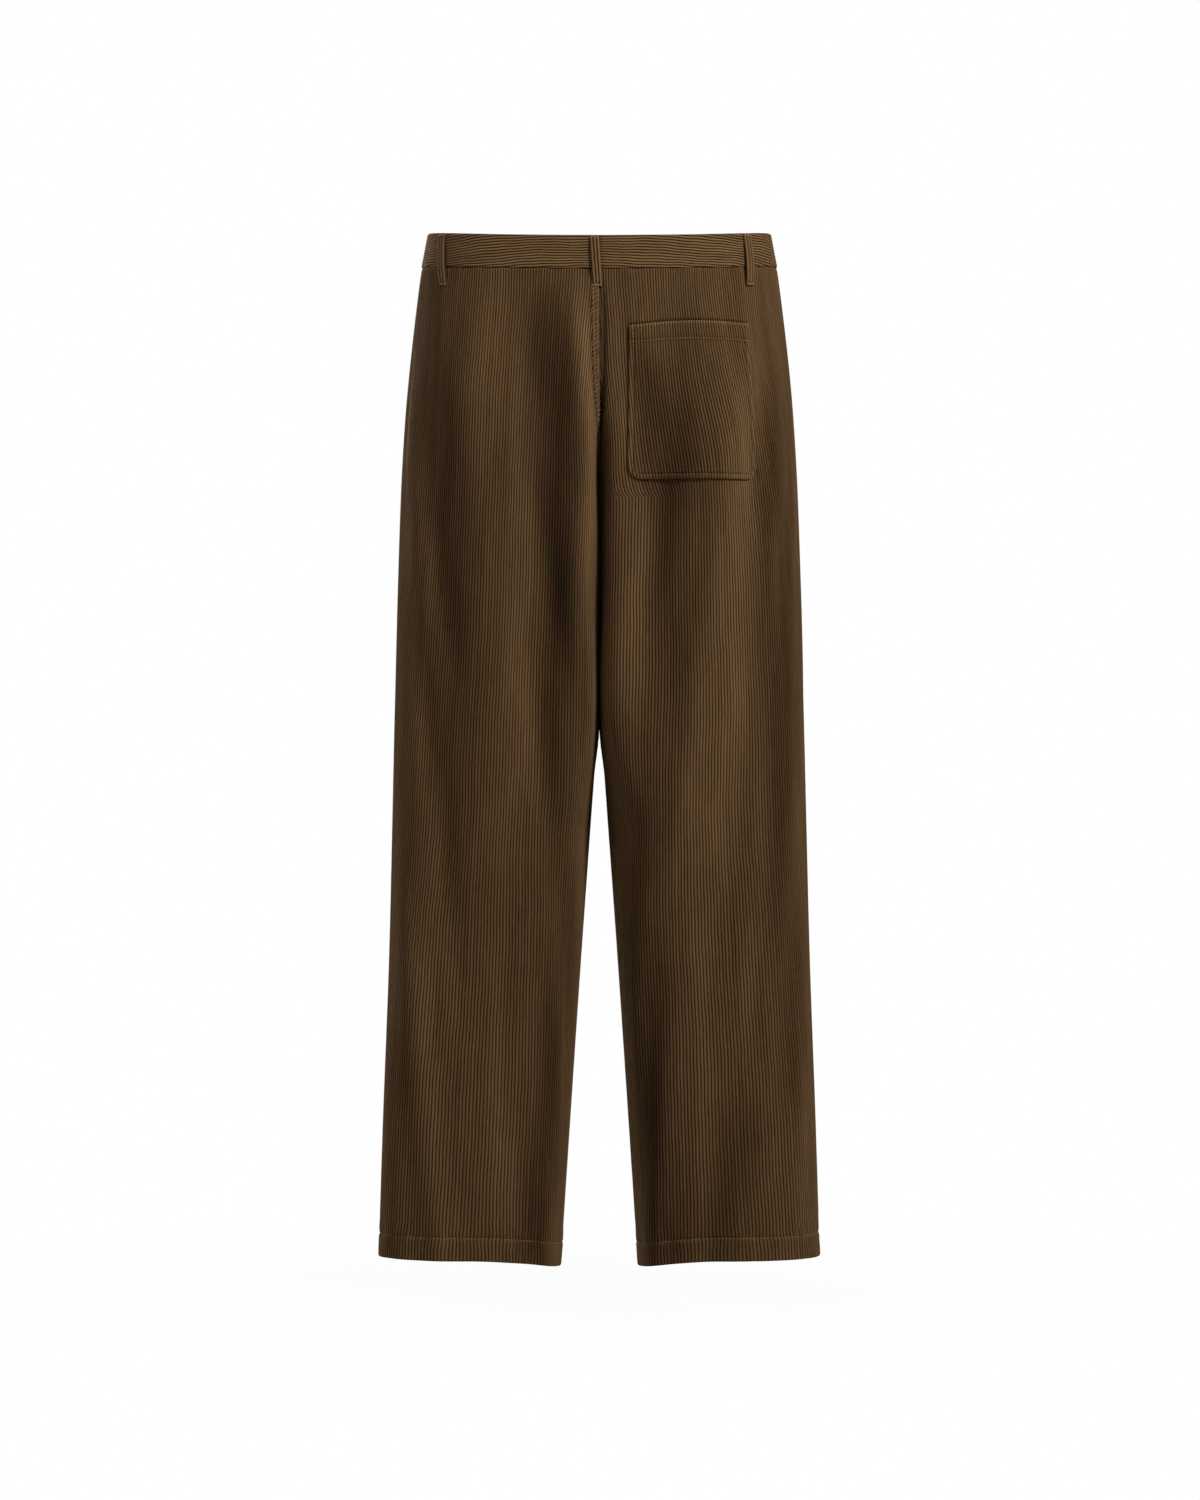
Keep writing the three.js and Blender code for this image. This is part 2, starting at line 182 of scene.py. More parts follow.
# Corduroy pile. The map "wales" counts wales across and millimetres along them.
def pileMaterial():
    look = pileLook
    material, tree, shader = newMaterial("corduroyPile", look["roughness"], look["specular"])
    place = addNode(tree, "ShaderNodeUVMap", uv_map="wales").outputs[0]
    split = addNode(tree, "ShaderNodeSeparateXYZ", place)
    across, along = split.outputs[0], split.outputs[1]
    # The wale grooves are painted darker: painted shade
    fromMiddle = calc(tree, "ABSOLUTE", calc(tree, "SUBTRACT", calc(tree, "FRACT", across), 0.5))
    valleyShade = calc(tree, "POWER", calc(tree, "MULTIPLY", fromMiddle, 2.0), look["valleyShadePower"])
    oneWale = addNode(tree, "ShaderNodeTexWhiteNoise", noise_dimensions="1D")
    feed(tree, oneWale.inputs["W"], calc(tree, "FLOOR", across))

    def mottle(wide, long, detail):
        spot = joinAxes(tree, calc(tree, "MULTIPLY", across, wide), calc(tree, "MULTIPLY", along, long))
        return cloudy(tree, spot, 1.0, detail)

    lay, streak, tuft = mottle(0.22, 0.011, 3.0), mottle(1.1, 0.05, 3.0), mottle(3.0, 0.9, 2.0)
    tone = calc(tree, "MULTIPLY_ADD", oneWale.outputs["Value"], 0.16, -0.35)
    for cloud in (lay, streak, tuft):
        tone = calc(tree, "MULTIPLY_ADD", cloud, 0.5, tone)
    # The painted light and painted shade of the attribute tint the pile and scale its colour
    paintedShading = addNode(tree, "ShaderNodeAttribute", attribute_name="paintedShading").outputs["Fac"]
    tone = calc(tree, "MULTIPLY_ADD", paintedShading, look["paintedShadingTone"], tone)
    ridge = blendColour(tree, tone, look["dark"], look["light"])
    colour = blendColour(tree, calc(tree, "MULTIPLY", valleyShade, look["valleyShadeShare"]), ridge, look["valleyShade"])
    paintedShadingScale = calc(tree, "MAXIMUM", calc(tree, "MULTIPLY_ADD", paintedShading, look["paintedShadingGain"], 1.0), look["leastGain"])
    toned = addNode(tree, "ShaderNodeVectorMath", colour, operation="SCALE")
    feed(tree, toned.inputs["Scale"], paintedShadingScale)
    feed(tree, shader.inputs["Base Color"], toned.outputs[0])
    feed(tree, shader.inputs["Sheen Weight"], look["sheen"])
    feed(tree, shader.inputs["Sheen Roughness"], look["sheenRoughness"])
    feed(tree, shader.inputs["Sheen Tint"], look["sheenTint"])
    bumped(tree, shader, tuft, look["tuftHeight"])
    return material


# A plain weave, as on the reverse of the cloth
def weaveMaterial(name, dark, light):
    material, tree, shader = newMaterial(name, 0.95, 0.1)
    place = addNode(tree, "ShaderNodeUVMap", uv_map="wales").outputs[0]
    split = addNode(tree, "ShaderNodeSeparateXYZ", place)
    across, along = split.outputs[0], split.outputs[1]
    warp = calc(tree, "SINE", calc(tree, "MULTIPLY", across, 25.0))
    weft = calc(tree, "SINE", calc(tree, "MULTIPLY", along, 7.5))
    weave = calc(tree, "MULTIPLY", warp, weft)
    soft = cloudy(tree, joinAxes(tree, across, calc(tree, "MULTIPLY", along, 0.3)), 0.6, 3.0)
    tone = calc(tree, "MULTIPLY_ADD", weave, 0.25, soft)
    feed(tree, shader.inputs["Base Color"], blendColour(tree, tone, dark, light))
    bumped(tree, shader, weave, 0.0001)
    return material


def threadMaterial():
    material, tree, shader = newMaterial("thread", 0.7, 0.12)
    coordinates = addNode(tree, "ShaderNodeTexCoord").outputs["Object"]
    tone = cloudy(tree, coordinates, 900.0, 1.0)
    colour = blendColour(tree, tone, (0.16, 0.096, 0.044, 1), (0.32, 0.205, 0.105, 1))
    feed(tree, shader.inputs["Base Color"], colour)
    return material


def hornMaterial():
    material, tree, shader = newMaterial("buttonHorn", 0.35, 0.5)
    coordinates = addNode(tree, "ShaderNodeTexCoord").outputs["Object"]
    swirl = cloudy(tree, coordinates, 210.0, 5.0)
    colour = blendColour(tree, swirl, (0.012, 0.006, 0.003, 1), (0.062, 0.032, 0.016, 1))
    feed(tree, shader.inputs["Base Color"], colour)
    bumped(tree, shader, cloudy(tree, coordinates, 1400.0, 2.0), 0.00004)
    return material


def brassMaterial():
    material, tree, shader = newMaterial("agedBrass", 0.4, 0.5)
    coordinates = addNode(tree, "ShaderNodeTexCoord").outputs["Object"]
    wear = cloudy(tree, coordinates, 500.0, 4.0)
    colour = blendColour(tree, wear, (0.20, 0.12, 0.045, 1), (0.52, 0.36, 0.15, 1))
    feed(tree, shader.inputs["Base Color"], colour)
    feed(tree, shader.inputs["Metallic"], 1.0)
    feed(tree, shader.inputs["Roughness"], calc(tree, "MULTIPLY_ADD", wear, 0.4, 0.2))
    return material


pile, thread = pileMaterial(), threadMaterial()
reverse = weaveMaterial("corduroyReverse", (0.048, 0.030, 0.016, 1), (0.098, 0.066, 0.038, 1))
tape = weaveMaterial("zipTape", (0.022, 0.013, 0.007, 1), (0.050, 0.031, 0.018, 1))
horn, brass = hornMaterial(), brassMaterial()
print("materials made")

# The form, in millimetres: for each height, the reach of the side, half the gap between the
# legs, the middle of the leg, and how far the back and the front stand from the side seams
formColumns = ("level", "side", "gap", "middle", "back", "front")
form = np.array([
    (0, 179.6, 0, 0, 104, 101),
    (-36, 185.9, 0, 14, 109, 105),
    (-100, 194, 0, 42, 119, 107),
    (-170, 201.3, 0, 70, 125, 105),
    (-225, 205.3, 0, 88, 123, 102),
    (-280, 208, 0.25, 102, 115, 98),
    (-380, 211, 0.5, 106, 103, 92),
    (-470, 213.3, 0.9, 107, 95, 86),
    (-530, 214.9, 3.4, 109, 91, 82),
    (-600, 216.5, 8.2, 112, 87, 77),
    (-760, 220.3, 19.6, 120, 80, 69),
    (-920, 226.3, 30.8, 129, 76, 62),
    (-1070, 231, 41, 136, 74, 58),
])
clothWall = 1.8
band = {"height": 34.3, "wall": 2.6, "proud": 0.4}
centreDip = {"back": 10.8, "front": 13, "power": 1.6, "fadesAt": -255}
hem = {"level": -1069.5, "height": 24, "wall": 3, "innerDrop": 10.5, "fadesAt": -720}
crotch = {"level": -280, "back": -95, "front": -165}
roundness = 2.25
cleft = {"boxier": 3.6, "over": 120, "until": -640, "fades": 160}  # the legs press flat on each other

# The folds. Each runs from one height to another through three places across the half.
foldEnds = {"in": 0.22, "out": 0.3}
foldColumns = ("half", "face", "start", "end", "x1", "x2", "x3", "width", "depth")
folds = [dict(zip(foldColumns, row)) for row in (
    ("left", "back", -50, -900, 172, 166, 150, 24, -3.5),
    ("left", "back", -30, -820, 142, 130, 112, 28, 4.5),
    ("left", "back", -10, -760, 84, 63, 80, 27, -8),
    ("left", "back", -10, -470, 36, 21, 30, 18, 7.5),
    ("left", "back", -560, -1040, 90, 100, 112, 30, -2.5),
    ("right", "back", -60, -820, 150, 100, 62, 34, 7),
    ("right", "back", -120, -560, 160, 160, 156, 20, -4.5),
    ("right", "back", -90, -560, 24, 54, 52, 24, -7),
    ("right", "back", -640, -1030, 116, 126, 142, 30, -2.5),
    ("left", "front", -60, -600, 120, 108, 96, 20, -4.5),
    ("left", "front", -120, -520, 60, 66, 70, 18, 4),
    ("left", "front", -560, -1000, 110, 124, 130, 22, -3.5),
    ("right", "front", -80, -640, 112, 118, 104, 22, -4),
    ("right", "front", -150, -480, 68, 60, 66, 18, 4),
    ("right", "front", -520, -980, 122, 112, 126, 22, -3.5),
)]


def smoothstep(t):
    t = np.clip(t, 0, 1)
    return t * t * (3 - 2 * t)


def bell(distance, width):
    return np.exp(-((distance / width) ** 2))


def sized(column, level):
    values, levels = form[:, formColumns.index(column)], form[:, 0]
    last = len(values) - 1
    b = min(max(int(np.searchsorted(-levels, -level)), 1), last)
    a = b - 1
    run = levels[b] - levels[a]
    t = min(max((level - levels[a]) / run, 0), 1)
    slope = lambda i, j: (values[j] - values[i]) / (levels[j] - levels[i])
    slopeA = slope(a, b) if a == 0 else slope(a - 1, b)
    slopeB = slope(a, b) if b == last else slope(a, b + 1)
    t2, t3 = t * t, t * t * t
    return (
        (2 * t3 - 3 * t2 + 1) * values[a]
        + (t3 - 2 * t2 + t) * run * slopeA
        + (3 * t2 - 2 * t3) * values[b]
        + (t3 - t2) * run * slopeB
    )


# Painted shade and painted light on the pile of the back, in soft bands with the same columns
paintedShadeEnds, slopeShade = 0.3, 0.7
paintedShadeColumns = foldColumns[:-1] + ("tone",)
paintedShades = [dict(zip(paintedShadeColumns, row)) for row in (
    ("left", "back", -5, -540, 60, 44, 34, 17, -0.42),
    ("left", "back", -25, -380, 24, 11, 13, 10, 0.4),
    ("left", "back", -60, -900, 166, 138, 134, 24, -0.1),
    ("left", "back", -60, -900, 118, 104, 100, 26, -0.2),
    ("left", "back", -300, -760, 28, 36, 54, 24, -0.14),
    ("left", "back", -60, -1000, 196, 192, 170, 18, 0.2),
    ("left", "back", -620, -1160, 32, 50, 86, 22, -0.55),
    ("right", "back", -90, -330, 44, 70, 84, 26, -0.22),
    ("right", "back", -180, -560, 14, 28, 34, 18, 0.12),
    ("right", "back", -30, -820, 168, 134, 92, 20, 0.2),
    ("right", "back", -30, -1000, 190, 192, 196, 24, -0.42),
    ("right", "back", -640, -1180, 36, 54, 78, 25, -0.42),
    ("right", "back", -880, -1100, 150, 140, 134, 40, -0.3),
)]

# Soft unevenness of each panel: a few long waves that run mostly down the cloth
dice = np.random.default_rng(31)
waves = {}
for half in ("left", "right"):
    for face in ("back", "front"):
        waves[half, face] = [
            {
                "across": wide * dice.uniform(0.85, 1.15),
                "down": dice.uniform(260, 620) * dice.choice([-1, 1]),
                "turn": dice.uniform(0, 2 * math.pi),
                "size": 0.009 * wide,
            }
            for wide in (36, 52, 78, 115)
        ]


def unevenness(half, face, level, fromSide):
    total = 0
    for wave in waves[half, face]:
        turn = 2 * math.pi * (fromSide / wave["across"] + level / wave["down"]) + wave["turn"]
        total = total + wave["size"] * np.sin(turn)
    return total


def measured(x, out):
    keep = np.concatenate([[True], np.hypot(np.diff(x), np.diff(out)) > 0.02])
    x, out = x[keep], out[keep]
    along = np.concatenate([[0], np.cumsum(np.hypot(np.diff(x), np.diff(out)))])
    return x, out, along


def outward(x, out):
    dx = np.concatenate([[x[1] - x[0]], x[2:] - x[:-2], [x[-1] - x[-2]]])
    dOut = np.concatenate([[out[1] - out[0]], out[2:] - out[:-2], [out[-1] - out[-2]]])
    size = np.hypot(dx, dOut)
    return -dOut / size, dx / size


# The curve through a band's three places
def placeOn(band, t):
    return band["x1"] * (1 - t) * (1 - 2 * t) + band["x2"] * 4 * t * (1 - t) + band["x3"] * t * (2 * t - 1)


curves = {}
slopes = {}


# One panel's section, from the centre seam or the inseam to the side seam: x across, how far it
# stands out, the length along it, and the outward direction
def sectionCurve(half, face, level):
    key = (half, face, round(float(level), 3))
    if key in curves:
        return curves[key]
    inner = sized("gap", level)
    middle = max(sized("middle", level), inner + 0.01)
    side, reach = sized("side", level), sized(face, level)
    t = min(max((crotch[face] - level) / (crotch[face] - crotch["level"]), 0), 1)
    seamReach = reach * math.sqrt(1 - t * t)
    angles = np.linspace(0, math.pi / 2, 121)
    inside, outside = np.cos(angles), np.sin(angles[1:])
    pressed = smoothstep((crotch[face] - level) / cleft["over"])
    pressed = pressed * smoothstep((level - cleft["until"]) / cleft["fades"])
    boxy = roundness + cleft["boxier"] * float(pressed)
    cut = 1 - (seamReach / reach) ** boxy
    bowed = lambda t, share, power: reach * np.maximum(1 - share * t**power, 0) ** (1 / power)
    x = np.concatenate([middle - (middle - inner) * inside, middle + (side - middle) * outside])
    x, out, along = measured(x, np.concatenate([bowed(inside, cut, boxy), bowed(outside, 1, roundness)]))
    calm = 0.15 + 0.85 * float(smoothstep((-10 - level) / 120))
    depth = calm * unevenness(half, face, level, along[-1] - along) * smoothstep(along / (10 + 35 * cut))
    for fold in folds:
        t = (level - fold["start"]) / (fold["end"] - fold["start"])
        if fold["half"] != half or fold["face"] != face or not 0 < t < 1:
            continue
        away = along - np.interp(placeOn(fold, t), x, along)
        strength = fold["depth"] * smoothstep(t / foldEnds["in"]) * smoothstep((1 - t) / foldEnds["out"])
        depth = depth + strength * bell(away, fold["width"])
    depth = depth * smoothstep(along / 10) * smoothstep((along[-1] - along) / 35)
    slopes[key] = (along / along[-1], np.gradient(depth, along))
    nx, nOut = outward(x, out)
    x, out, along = measured(np.maximum(x + nx * depth, inner), np.maximum(out + nOut * depth, 0))
    curves[key] = (x, out, along, *outward(x, out))
    return curves[key]


def lengthOf(half, face, level):
    return sectionCurve(half, face, level)[2][-1]


def lengthAtX(half, face, level, place):
    x, out, along, nx, nOut = sectionCurve(half, face, level)
    return np.interp(place, x, along)


# Points of the cloth at one height, moved out by some distance, in metres
def clothRow(half, face, level, along, moved):
    x, out, at, nx, nOut = sectionCurve(half, face, level)
    place = np.abs(along)
    plainX, plainOut = np.interp(place, at, x), np.interp(place, at, out)
    dip = centreDip[face] * smoothstep(1 - level / centreDip["fadesAt"])
    dip = dip * (plainOut / sized(face, level)) ** centreDip["power"]
    low = hem["innerDrop"] * smoothstep((hem["fadesAt"] - level) / (hem["fadesAt"] - hem["level"]))
    middle = sized("middle", level)
    inside = np.clip((middle - plainX) / max(middle - sized("gap", level), 1), 0, 1)
    across = np.where(along < 0, -1, 1) * (plainX + moved * np.interp(place, at, nx))
    away = plainOut + moved * np.interp(place, at, nOut)
    points = np.empty((len(place), 3))
    points[:, 0] = -across if half == "left" else across
    points[:, 1] = -away if face == "back" else away
    points[:, 2] = level - dip - low * inside * inside
    return points / 1000


# Painted shading of the pile: painted light where a fold turns it to the wearer's right, painted shade where
# it turns left, and the painted bands of light and shade
def paintedPanelShading(half, face, level, along):
    whole = lengthOf(half, face, level)
    share, slope = slopes[half, face, round(float(level), 3)]
    turn = slopeShade * np.interp(np.abs(along) / whole, share, slope)
    turn = turn if half == "left" else -turn
    for paintedShading in paintedShades:
        t = (level - paintedShading["start"]) / (paintedShading["end"] - paintedShading["start"])
        if paintedShading["half"] == half and paintedShading["face"] == face and 0 < t < 1:
            away = np.abs(along) - lengthAtX(half, face, level, placeOn(paintedShading, t))
            strength = paintedShading["tone"] * smoothstep(t / paintedShadeEnds) * smoothstep((1 - t) / paintedShadeEnds)
            turn = turn + strength * bell(away, paintedShading["width"])
    return turn


# The same where the height changes from point to point
def clothAt(half, face, levels, along, moved):
    step = 2.0
    levels, along, moved = np.broadcast_arrays(np.asarray(levels, float), along, moved)
    points = np.zeros((len(along), 3))
    for k in range(math.floor(levels.min() / step), math.ceil(levels.max() / step) + 1):
        weight = np.maximum(1 - np.abs(levels / step - k), 0)
        here = weight > 0
        if here.any():
            row = clothRow(half, face, k * step, along[here], moved[here])
            points[here] += weight[here, None] * row
    return points


def addObject(name, mesh):
    thing = bpy.data.objects.new(name, mesh)
    scene.collection.objects.link(thing)
    return thing


# Triangles between two rows of vertices that have different numbers of points
def zipRows(first, second, firstAt, secondAt, flipped):
    faces, i, j = [], 0, 0
    while i < len(first) - 1 or j < len(second) - 1:
        stepFirst = j == len(second) - 1 or (i < len(first) - 1 and firstAt[i + 1] <= secondAt[j + 1])
        if stepFirst:
            corners = (first[i], first[i + 1], second[j])
            i += 1
        else:
            corners = (first[i], second[j + 1], second[j])
            j += 1
        faces.append(corners[::-1] if flipped else corners)
    return faces


wale = {"phases": np.array([0, 0.2, 0.5, 0.8]), "heights": np.array([0, 0.82, 1, 0.82]), "relief": 1.05}


# A closed sheet of corduroy. Its stations run along the wales. For each, spanAt gives the low and
# high edge, the place of wale 0 and the pitch; pointsAt gives the points; liftAt gives how far
# the outer side is moved out; and shiftAt bends the wales sideways.
def waleSheet(
    name, stations, spanAt, pointsAt, liftAt, wallAt, innerCount,
    relief=1.0, shiftAt=None, pileInside=None, flatEdge=0, paintedShadingAt=None, materials=(pile, reverse),
):
    spans = [spanAt(station) for station in stations]
    first = math.floor(min((low - grain) / pitch for low, high, grain, pitch in spans)) - 8
    last = math.ceil(max((high - grain) / pitch for low, high, grain, pitch in spans)) + 8
    wales = (np.arange(first, last)[:, None] + wale["phases"]).ravel()
    heights = np.tile(wale["heights"], last - first)
    points, uvs, paintedShades, outer, inner, outerAt, innerAt = [], [], [], [], [], [], []
    count = 0
    for station, (low, high, grain, pitch) in zip(stations, spans):
        across = grain + pitch * wales
        if shiftAt:
            across = across + shiftAt(station, across, high)
        inside = np.flatnonzero((across > low + 0.1) & (across < high - 0.1))
        a, b = inside[0], inside[-1]
        places = np.concatenate([[low], across[a : b + 1], [high]])
        height = np.concatenate([[0.3], heights[a : b + 1], [0.3]])
        ribs = relief * wale["relief"] * (height - 0.5)
        if flatEdge:
            ribs = ribs * (0.25 + 0.75 * smoothstep(np.minimum(places - low, high - places) / flatEdge))
        moved = liftAt(station, places, low, high) + ribs
        points.append(pointsAt(station, places, moved))
        number = np.concatenate([
            [np.interp(low, across, wales)], wales[a : b + 1], [np.interp(high, across, wales)]
        ])
        uvs.append(np.stack([number, np.full(len(number), float(station))], axis=1))
        outer.append(np.clip(np.arange(len(wales)) - a + 1, 0, b - a + 2) + count)
        outerAt.append((places - low) / (high - low))
        paintedShades.append(paintedShadingAt(station, places) if paintedShadingAt else np.zeros(len(places)))
        count += len(places)
        places = np.linspace(low, high, innerCount + 1)
        moved = liftAt(station, places, low, high) - wallAt(station)
        points.append(pointsAt(station, places, moved))
        number = np.interp(places, across, wales)
        uvs.append(np.stack([number, np.full(len(places), float(station))], axis=1))
        inner.append(np.arange(innerCount + 1) + count)
        innerAt.append((places - low) / (high - low))
        paintedShades.append(np.zeros(len(places)))
        count += innerCount + 1
    faces, slots = [], []
    for i in range(len(stations) - 1):
        a, b, c, d = outer[i], outer[i + 1], inner[i], inner[i + 1]
        quads = np.stack([a[:-1], b[:-1], b[1:], a[1:]], axis=1)
        for quad in quads[(quads[:, 0] != quads[:, 3]) | (quads[:, 1] != quads[:, 2])].tolist():
            faces.append(tuple(dict.fromkeys(quad)))
        slots += [0] * (len(faces) - len(slots))
        faces += np.stack([c[:-1], c[1:], d[1:], d[:-1]], axis=1).tolist()
        slots += [0 if pileInside and pileInside(stations[i]) else 1] * innerCount
        faces.append((a[0], c[0], d[0], b[0]))
        faces.append((a[-1], b[-1], d[-1], c[-1]))
        slots += [0, 0]
    for i, flipped in ((0, False), (-1, True)):
        rim = np.arange(outer[i][0], outer[i][-1] + 1)
        faces += zipRows(rim, inner[i], outerAt[i], innerAt[i], flipped)
    slots += [0] * (len(faces) - len(slots))
    thing = closedMesh(name, np.concatenate(points), faces, slots, np.concatenate(uvs), materials)
    # The painted light and painted shade are kept in an attribute of the points
    thing.data.attributes.new("paintedShading", "FLOAT", "POINT").data.foreach_set("value", np.concatenate(paintedShades))
    return thing


# Makes an object from points and faces, and turns the faces outward
def closedMesh(name, points, faces, slots, uvs, materials, sharp=82):
    corners = np.array([(f[0], f[k], f[k + 1]) for f in faces for k in range(1, len(f) - 1)])
    a, b, c = (points[corners[:, k]] for k in range(3))
    if np.einsum("ij,ij->i", a, np.cross(b, c)).sum() < 0:
        faces = [tuple(face)[::-1] for face in faces]
    mesh = bpy.data.meshes.new(name)
    mesh.from_pydata(points.tolist(), [], [[int(k) for k in face] for face in faces])
    mesh.polygons.foreach_set("material_index", np.array(slots, dtype=np.int32))
    mesh.polygons.foreach_set("use_smooth", np.ones(len(faces), dtype=bool))
    if uvs is not None:
        layer = mesh.uv_layers.new(name="wales")
        which = np.empty(len(mesh.loops), dtype=np.int32)
        mesh.loops.foreach_get("vertex_index", which)
        layer.data.foreach_set("uv", uvs[which].astype(np.float32).ravel())
    for material in materials:
        mesh.materials.append(material)
    mesh.set_sharp_from_angle(angle=math.radians(sharp))
    mesh.update()
    return addObject(name, mesh)


pieces = []


def addPiece(piece, slot, *nodes):
    pieces.append({"piece": piece, "slot": slot, "nodes": nodes})
    return piece


# Patch pocket on the right of the seat
pocket = {
    "top": -97, "bottom": -262, "inTop": 30.5, "outTop": 152.5, "inBottom": 29, "outBottom": 161.5,
    "wall": 1.5, "standOff": 0.5, "corner": 15, "arch": 4.5, "hem": 18.5, "stitchIn": 4.6,
    "allowance": 0.8, "tilt": 1.5, "grain": 0.44, "grainLean": 0.05, "pitch": 2.9,
}
pocketHeight = pocket["top"] - pocket["bottom"]


def pocketEdges(drop):
    share = drop / pocketHeight
    into = max(drop - (pocketHeight - pocket["corner"]), 0) / pocket["corner"]
    trim = pocket["corner"] * (1 - math.sqrt(max(1 - into * into, 0)))
    level = pocket["top"] - drop
    inside, outside = (
        lengthAtX("right", "back", level, pocket[top] + (pocket[bottom] - pocket[top]) * share)
        for top, bottom in (("inTop", "inBottom"), ("outTop", "outBottom"))
    )
    return inside, outside, trim


def pocketRise(share):
    return pocket["arch"] * np.sin(math.pi * share) + pocket["tilt"] * share


# Painted shadow on the cloth close round the pocket, above its top edge and beside its sides
def pocketShade(level, across):
    drop = pocket["top"] - level
    inside, outside, trim = pocketEdges(min(max(drop, 0), pocketHeight))
    share = np.clip((across - inside) / (outside - inside), 0, 1)
    within = (across > inside - 1) & (across < outside + 1)
    shade = 0.7 * within * bell(-drop - pocketRise(share) - 1.3, 1.5)
    if 0 < drop < pocketHeight - trim:
        shade = shade + 0.4 * (bell(across - inside + 0.8, 1.5) + bell(across - outside - 0.8, 1.5))
    return shade


# Leg panels: where one wale runs at the waist, the crotch and the hem, and the columns inside
panels = {
    ("left", "back"): {"grain": (92, 104, 137), "inner": 34},
    ("right", "back"): {"grain": (90, 104, 137), "inner": 34},
    ("left", "front"): {"grain": (95, 104, 137), "inner": 30},
    ("right", "front"): {"grain": (95, 104, 137), "inner": 28},
}
pitchAt = {"levels": (-1070, -760, -500, -280, 0), "pitches": (3.85, 3.4, 3.1, 2.92, 2.85)}
fly = {"bottom": -185, "rise": 12, "past": 5, "clear": 0.6, "flat": 2, "ramp": 16, "lift": 2.3}
panelTop = -band["height"] - 0.1


def panelStations(half, face):
    levels = set(np.round(np.linspace(panelTop, hem["level"], 104), 3).tolist())
    levels |= {panelTop - drop for drop in (0.4, 1, 2, 4)}
    levels |= {fly["bottom"] + rise for rise in (0.0, 4.0, 8.0, 12.0, 14.0)}
    levels |= {crotch["level"] + rise for rise in (-3.0, 0.0, 3.0, 8.0)}
    levels |= {hem["level"] + rise for rise in (0.4, 1, 2, 4)}
    levels |= {hem["level"] + (hem["height"] + past) for past in (-2, -1, 0, 1, 2.5)}
    if (half, face) == ("right", "back"):
        levels |= {pocket["top"] + rise for rise in (-1.5, 0, 1.5, 2.5, 3.5, 4.5, 5.5, 6.5, 7.5, 9)}
    return sorted(levels, reverse=True)


panelEdge = {
    "seam": 0.7, "seamWidth": 1.3, "top": 1.3, "topWidth": 1.2, "hemEnd": 0.6, "hemGroove": 0.7,
    "hemStep": 0.5, "hemWidth": 1.5, "hemPucker": 0.36, "hemReach": 13, "waistPucker": 0.42, "waistReach": 18,
    "touchWidth": 9,
}
# Beside the seat seam: how high each hump is, where it lies across, and how wide it is
seatHumps = {
    "left": ((0.9, 3.6, 3.4), (-1.2, 9.8, 2)),
    "right": ((-3.0, 3.4, 3.2), (0.6, 13, 5)),
}


def humped(humps, across):
    return sum(high * bell(across - place, width) for high, place, width in humps)


# How far a panel's outer side is moved out: dips at its seams, the turned hem with its puckers,
# the lapped seat seam, and the lap over the fly
def panelLift(half, face, level, across, low, high):
    laps = (half, face) == ("left", "front")
    fromHem = level - hem["level"] - hem["height"]
    lift = -panelEdge["seam"] * bell(high - across, panelEdge["seamWidth"])
    lift = lift - panelEdge["top"] * bell(panelTop - level, panelEdge["topWidth"])
    lift = lift - panelEdge["hemEnd"] * bell(level - hem["level"], panelEdge["hemEnd"])
    lift = lift - panelEdge["hemGroove"] * bell(fromHem, panelEdge["hemWidth"])
    lift = lift + panelEdge["hemStep"] * smoothstep(-fromHem / panelEdge["hemWidth"])
    pucker = np.sin(across / 2.9 + 1.4 * np.sin(across / 17))
    pucker = pucker + 0.6 * np.sin(across / 5.3 + (1 if half == "left" else 4))
    pucker = pucker + 0.8 * np.sin(across / 9.1 + fromHem / 3.3 + 2 * np.sin(across / 31))
    lift = lift + panelEdge["hemPucker"] * pucker * bell(fromHem - 1, panelEdge["hemReach"])
    pucker = panelEdge["waistPucker"] * np.sin(across / 4.6 + 2 * np.sin(across / 23))
    lift = lift + pucker * bell(panelTop - level, panelEdge["waistReach"])
    if laps:
        rise = smoothstep((level - fly["bottom"]) / fly["rise"])
        lift = lift + fly["lift"] * rise * smoothstep(1 - (across - fly["flat"]) / fly["ramp"])
    touching = smoothstep((crotch[face] + 10 - level) / 50) * smoothstep((level + 570) / 60)
    inseam = -panelEdge["seam"] * bell(across - low, panelEdge["seamWidth"]) * (1 - touching)
    inseam = inseam + touching * (sized("gap", level) + 0.06) * bell(across - low, panelEdge["touchWidth"])
    if face == "back":
        seat = smoothstep((-42 - level) / 30) * smoothstep((level + 245) / 60)
        return lift + inseam * (1 - seat if half == "left" else 1) + seat * humped(seatHumps[half], across)
    return lift + inseam * (0 if laps and level > fly["bottom"] else 1)


# The wales of the right seat lean out towards the side
leanLook = {"most": 11, "top": -36, "turned": -264, "fades": 430, "from": 45, "over": 110}


def sideLean(level, across):
    top, turned = leanLook["top"], leanLook["turned"]
    ramp = 2 * smoothstep((top - level) / (top - turned)) - 1
    ramp = leanLook["most"] * ramp * (1 - smoothstep((turned - level) / leanLook["fades"]))
    return ramp * smoothstep((across - leanLook["from"]) / leanLook["over"])


